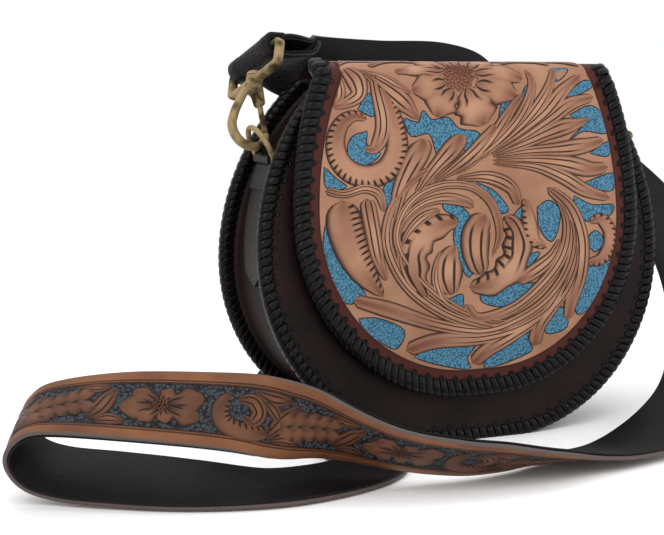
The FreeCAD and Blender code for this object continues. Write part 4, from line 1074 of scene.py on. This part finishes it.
def snap_hook(side):
    """The made pieces of one snap hook, each on its own body."""
    hook = Hook(side)
    settle(hook_body(hook).piece(f"hook_body_{side}", BRASS), f"hook_{side}", "antique_brass",
           f"hook_frame_{side}")
    settle(hook_rivet(hook).piece(f"hook_rivet_{side}", BRASS), f"hook_{side}", "antique_brass")
    settle(hook_gate(hook).piece(f"hook_latch_{side}", BRASS), f"gate_{side}", "antique_brass",
           f"hook_gate_{side}")
    settle(swivel_eye(hook).piece(f"strap_eye_{side}", BRASS), "bag", "antique_brass", f"swivel_eye_{side}")


def d_ring(side, lean):
    """A D-ring: a straight bar through the tab's fold, two short legs and a half circle."""
    joint = joints[f"ring_swing_{side}"]
    fold = np.array(joint["pos_m"]) / MM
    lean = math.radians(lean)
    up = np.array([math.copysign(math.sin(lean), fold[0]), 0, math.cos(lean)])
    along = np.array([0.0, 1.0, 0.0])
    turn = np.linspace(0, math.pi, 33)
    arch = np.stack([RING_RADIUS * np.cos(turn), RING_LEGS + RING_RADIUS * np.sin(turn)], axis=-1)
    corners = [(-RING_RADIUS, RING_CORNER), (-RING_RADIUS, 0), (RING_RADIUS, 0), (RING_RADIUS, RING_CORNER)]
    foot = rounded_path(corners, RING_CORNER / 2, 6)[6:18]
    flat = evenly(np.concatenate([arch, foot, arch[:1]]), 90)[:-1]
    path = fold + flat[:, :1] * along + flat[:, 1:] * up
    ring = Patches()
    tube(ring, path, np.cross(along, up), RING_WIRE, RING_WIRE, squareness=2, closed=True)
    settle(ring.piece(f"d_ring_{side}", BRASS), f"ring_{side}", "antique_brass", f"ring_{side}")


for side, lean in (("left", 26), ("right", 55)):
    snap_hook(side)
    d_ring(side, lean)


# Strap

STRAP_ROUTE = (
    ((-64, 43, 204), (0, 0.32, -0.95)), ((-20, 45, 201), (0, 0, -1)), ((25, 47, 200), (0, 0, -1)),
    ((52, 52, 190), (-0.45, 0, -0.9)), ((62, 64, 162), (-0.8, -0.2, -0.5)),
    ((55, 86, 120), (-0.93, 0, 0.35)), ((25, 104, 74), (-0.78, 0, 0.62)),
    ((-20, 108, 34), (-0.65, 0.25, 0.7)), ((-58, 92, 10), (-0.9, 0.42, 0.15)),
    ((-77, 55, 3.2), (-1, 0.1, 0)), ((-79, 0, 3.0), (-1, 0, 0)),
    ((-77, -46, 3.2), (-1.0, 0.05, 0.02)), ((-83, -82, 3.9), (-0.8, 0.6, 0.06)),
    ((-109, -103, 4.9), (-0.42, 0.9, 0.1)), ((-148, -112, 6.4), (-0.05, 0.98, 0.17)),
    ((-186, -103, 9.2), (0.25, 0.9, 0.34)), ((-217, -85, 11), (0.42, 0.8, 0.4)),
    ((-240, -68, 12.5), (0.45, 0.8, 0.4)), ((-253, -63, 18), (0.45, 0.8, 0.4)),
    ((-260, -65, 29), (0.45, 0.8, 0.4)), ((-258, -73, 40), (0.45, 0.8, 0.4)),
    ((-247, -81, 46), (0.43, 0.78, 0.46)), ((-216, -97, 47.5), (0.3, 0.68, 0.67)),
    ((-172, -112, 44), (0.12, 0.5, 0.86)), ((-146, -116, 39), (-0.1, -0.05, 0.99)),
    ((-122, -119, 32.5), (-0.2, -0.5, 0.84)), ((-93, -129, 23), (-0.3, -0.68, 0.67)),
    ((-67, -134, 17.5), (-0.33, -0.72, 0.61)), ((-45, -136, 14.5), (-0.3, -0.78, 0.55)),
    ((-18, -133, 10.8), (-0.12, -0.91, 0.4)), ((10, -124, 7.5), (0.1, -0.97, 0.2)),
    ((45, -116, 6), (0.25, -0.96, 0.05)),
    ((85, -103, 13), (0.42, -0.88, -0.2)), ((122, -78, 30), (0.6, -0.78, -0.05)),
    ((150, -45, 58), (0.8, -0.6, 0)), ((165, -8, 90), (0.93, -0.3, 0.12)),
    ((167, 28, 116), (0.9, 0, 0.35)), ((157, 53, 135), (0.75, 0.1, 0.65)),
    ((140, 62, 149), (0.66, 0, 0.75)))
BAR_TURN = 4.93
BAR_STRAIGHT = (0, 8, 16)
LAP = 34.0
LAP_DROP = 5.25


def strap_line(steps):
    """The strap's middle, the way across it and its outward face, from the end of one lap, round its
    bar, along the route and round the other bar."""
    middles = np.array([place for place, _ in STRAP_ROUTE], float)
    across = unit([way for _, way in STRAP_ROUTE])
    bars = {}
    for side, end in (("left", 0), ("right", -1)):
        hook = Hook(side)
        bar_middle = hook.spot(0.0, 0.0, BAR_UP)
        bars[side] = bar_middle
        order = 1 if side == "left" else -1
        run = middles[end] - bar_middle
        run = unit(run - hook.bar * np.dot(run, hook.bar)) * order
        place = bar_middle + np.cross(run, hook.bar) * BAR_TURN
        straight = np.array([place + run * order * distance for distance in BAR_STRAIGHT])
        level = np.tile(hook.bar, (len(straight), 1))
        if order > 0:
            middles, across = np.vstack([straight, middles]), np.vstack([level, across])
        else:
            middles, across = np.vstack([middles, straight[::-1]]), np.vstack([across, level])
    line, ways = smooth(middles, steps), smooth(across, steps)
    along = headings(line)
    ways = unit(ways - along * np.sum(ways * along, axis=1, keepdims=True))
    faces = np.cross(along, ways)
    start = strap_end(line, ways, faces, bars["left"])
    finish = strap_end(line[::-1], ways[::-1], faces[::-1], bars["right"])
    return [np.vstack([a[::-1], b, c]) for a, b, c in zip(start, (line, ways, faces), finish)]


def strap_end(line, ways, faces, bar_middle):
    """One strap end: half a turn round the bar, then lapped back under the run that it came from."""
    ahead = unit(line[1] - line[0])
    turn = np.linspace(0, math.pi, 19)[1:, None]
    wrap_face = faces[0] * np.cos(turn) - ahead * np.sin(turn)
    wrap = bar_middle + wrap_face * BAR_TURN
    length = np.cumsum(np.linalg.norm(np.diff(line, axis=0), axis=1))
    lap = np.nonzero(length < LAP)[0] + 1
    share = np.clip((length[lap - 1] - BAR_STRAIGHT[1]) / (LAP - BAR_STRAIGHT[1]), 0, 1)[:, None]
    under = line[lap] - faces[lap] * (2 * BAR_TURN * (1 - share) + LAP_DROP * share)
    return (np.vstack([wrap, under]), np.vstack([np.tile(ways[0], (len(wrap), 1)), ways[lap]]),
            np.vstack([wrap_face, -faces[lap]]))


strap_middle, strap_across, strap_face = strap_line(12)
strap_run = np.concatenate([[0], np.cumsum(np.linalg.norm(np.diff(strap_middle, axis=0), axis=1))])


def strap_layer(name, near, far, sunk, *materials):
    """One leather of the strap: a flat section with softened edges swept along the strap. The tooled
    leather lies sunk a little between its plain margins."""
    half = STRAP_HALF
    soft = 0.5
    top = [(-half + soft, far), (0, far), (half - soft, far)]
    if sunk:
        low = far - STRAP_SINK
        wall = TOOLED_HALF - 0.6
        top[1:2] = [(-TOOLED_HALF, far), (-wall, low), (0, low), (wall, low), (TOOLED_HALF, far)]
    section = np.array(top + [(half, far - soft), (half, near + 0.3), (half - soft, near), (0, near),
                              (-half + soft, near), (-half, near + 0.3), (-half, far - soft)])
    points = (strap_middle[:, None] + strap_across[:, None] * section[None, :, :1]
              + strap_face[:, None] * section[None, :, 1:])
    from_end = np.minimum(strap_run, strap_run[-1] - strap_run)
    spots = np.stack(np.broadcast_arrays(from_end[:, None], section[:, 0]), axis=-1)
    patches = Patches()
    patches.grid(points, spots=spots, round_trip=True, caps=True)
    return patches.piece(name, *materials)


settle(strap_layer("strap_leather", *STRAP_OUTER, True, STRAP_SKIN), "bag", "tooled_leather", "strap_outer")
settle(strap_layer("strap_back", *STRAP_INNER, False, BLACK), "bag", "lining_leather", "strap_lining")


def drawing_to_strap(drawing, rise):
    """Places (run along, distance across) on the strap's outside."""
    run, across = drawing[..., 0], drawing[..., 1]

    def along(values):
        return np.stack([np.interp(run, strap_run, column) for column in values.T], axis=-1)

    face = unit(along(strap_face))
    level = (TOOLING_LEVEL + rise)[..., None]
    return along(strap_middle) + along(strap_across) * across[..., None] + face * level


STRAP_REPEAT = 118.0
FIRST_FLOWER = 99.0
STRAP_FULLNESS = 1.34
STRAP_LEAVES = (
    # Scroll with its curl, stems and leaves beside it
    drawn((32, 8.5, 1.6), (27.5, 1.5, 3.4), (29, -6, 4), (37, -9.2, 3.8), (47, -8.4, 3), (54, -4, 1),
          hatch=80, side=1, vein=0),
    drawn((35, 5.5, 1.2), (42, 5.8, 3), (45.5, 0.5, 3.2), (42, -4, 2.6), (37.5, -2, 1)),
    drawn((43, 10.4, 1), (51, 8.6, 3), (60, 9.8, 1)),
    drawn((50, -10, 1), (55, -4, 3), (59, 2, 3), (64, 8.6, 1)),
    drawn((47, 7, 1), (52, 3.4, 2.6), (57, -2, 1)),
    drawn((53, -10.6, 0.8), (61, -9.4, 2.2), (69, -10.6, 0.8)),
    # Leaves between the feathered leaf and the next flower
    drawn((85, -9.4, 1), (90, -3, 3.6), (94, 4, 3.4), (98, 9.4, 1)),
    drawn((79, 10.6, 0.8), (87, 9.4, 2.4), (95, 10.4, 0.8)),
    drawn((88, -10.4, 1), (95, -8.8, 2.8), (102, -10.2, 1)),
)
STRAP_PETALS = (
    ((-20, -2.5), 5.4), ((-14, 8), 4.2), ((-11, -9), 3.6), ((21, 5.6), 5.2), ((19, -6.2), 5.0),
    ((5, 9.6), 3.4), ((3, -9.8), 3.2),
)
FEATHERED_LEAF = dict(start=(56, -3.4), step=(5.8, 1.2), pairs=5)


def strap_shapes():
    """One repeat of the strap's pattern: the leaves, a feathered leaf of paired lobes, and the petals,
    each from near the flower's middle to its tip and widest toward the tip."""
    shapes = list(STRAP_LEAVES)
    for k in range(FEATHERED_LEAF["pairs"]):
        rib = np.add(FEATHERED_LEAF["start"], np.multiply(FEATHERED_LEAF["step"], k))
        for lobe in (((3, 4), (7, 8)), ((4.5, -3), (9.5, -5.6))):
            spine = (rib, rib + lobe[0], rib + lobe[1])
            shapes.append(dict(spine=spine, widths=(1.2, 3.1, 2.4), vein=0.0))
    for tip, half in STRAP_PETALS:
        tip = np.array(tip)
        shapes.append(dict(spine=(tip * 0.12, tip * 0.58, tip * 0.94),
                           widths=(1.8, half * 0.95, half * 0.8), vein=0.55, burn=0.35, foot=1.0, wave=2))
    return shapes


def strap_tooling():
    """The strap's pattern, repeated along it between its plain ends: a flower, a scroll, curving leaves
    and a feathered leaf."""
    patches = Patches(*MARK_VALUES)
    first, last = PLAIN_END + 2, strap_run[-1] - PLAIN_END - 2
    for start in np.arange(FIRST_FLOWER - STRAP_REPEAT, strap_run[-1], STRAP_REPEAT):
        for order, shape in enumerate(strap_shapes()):
            spine = np.array(shape["spine"]) + (start, 0)
            if spine[:, 0].min() < first or spine[:, 0].max() > last:
                continue
            shape = {"burn": 1.0, "foot": 0.7, **shape, "spine": spine,
                     "widths": np.multiply(shape["widths"], STRAP_FULLNESS)}
            leaf(patches, drawing_to_strap, crown=0.6, lift=0.006 * order, rows=20, **shape)
        if first < start < last:
            seed_disc(patches, drawing_to_strap, (start, 0.0), 3.4, 0.7)
    return patches.piece("strap_tooling", STRAP_TOOLING, STRAP_TOOLING, STRAP_SEEDS, closed=False)


settle(strap_tooling(), "bag", "tooled_leather")


# Floor, light and camera

def floor():
    """One wide flat square of pale floor."""
    half = 4000
    sheet = Patches()
    sheet.add([(-half, -half, 0), (half, -half, 0), (half, half, 0), (-half, half, 0)], [[0, 1, 2, 3]])
    material, graph = new_material("pale floor")
    graph.fill(graph.shader(), {"Base Color": (0.99, 0.99, 0.99, 1), "Roughness": 0.9})
    sheet.piece("floor", material, closed=False)


def area_light(name, place, size, power):
    """A soft square light that faces the bag."""
    light = bpy.data.lights.new(name, "AREA")
    light.size = size
    light.energy = power
    lamp = bpy.data.objects.new(name, light)
    lamp.location = place
    lamp.rotation_euler = (Vector((0, 0, 0.1)) - Vector(place)).to_track_quat("-Z", "Y").to_euler()
    bpy.context.scene.collection.objects.link(lamp)


def camera():
    """The photo's view: from the left front, a little above, with the bag right of the middle."""
    place = np.array([-427, -786.6, 199]) * MM
    right = np.array([0.879, -0.477, 0.0])
    up = np.array([0.0499, 0.0919, 0.9945])
    ahead = np.array([0.4745, 0.874, -0.1045])
    aim_left, aim_down = 0.0686, 0.0162
    ahead = unit(ahead - aim_left * right - aim_down * up)
    right = unit(np.cross(ahead, [0, 0, 1]))
    up = np.cross(right, ahead)
    data = bpy.data.cameras.new("camera")
    data.sensor_width = 36
    data.lens = 85.4
    data.clip_start = 0.01
    made = bpy.data.objects.new("camera", data)
    turn = Matrix([[right[i], up[i], -ahead[i]] for i in range(3)]).to_4x4()
    made.matrix_world = Matrix.Translation(place.tolist()) @ turn
    bpy.context.scene.collection.objects.link(made)
    bpy.context.scene.camera = made


floor()
area_light("key light", (-0.9, -1.3, 1.5), 1.2, 15)
area_light("fill light", (1.3, -0.9, 0.9), 1.2, 4)
area_light("top light", (0.0, 0.5, 1.6), 1.4, 6)
camera()
world = bpy.data.worlds.new("studio")
bpy.context.scene.world = world
world.use_nodes = True
world.node_tree.nodes["Background"].inputs["Color"].default_value = (1, 1, 1, 1)
world.node_tree.nodes["Background"].inputs["Strength"].default_value = 1.0
bpy.context.scene.view_settings.view_transform = "Standard"
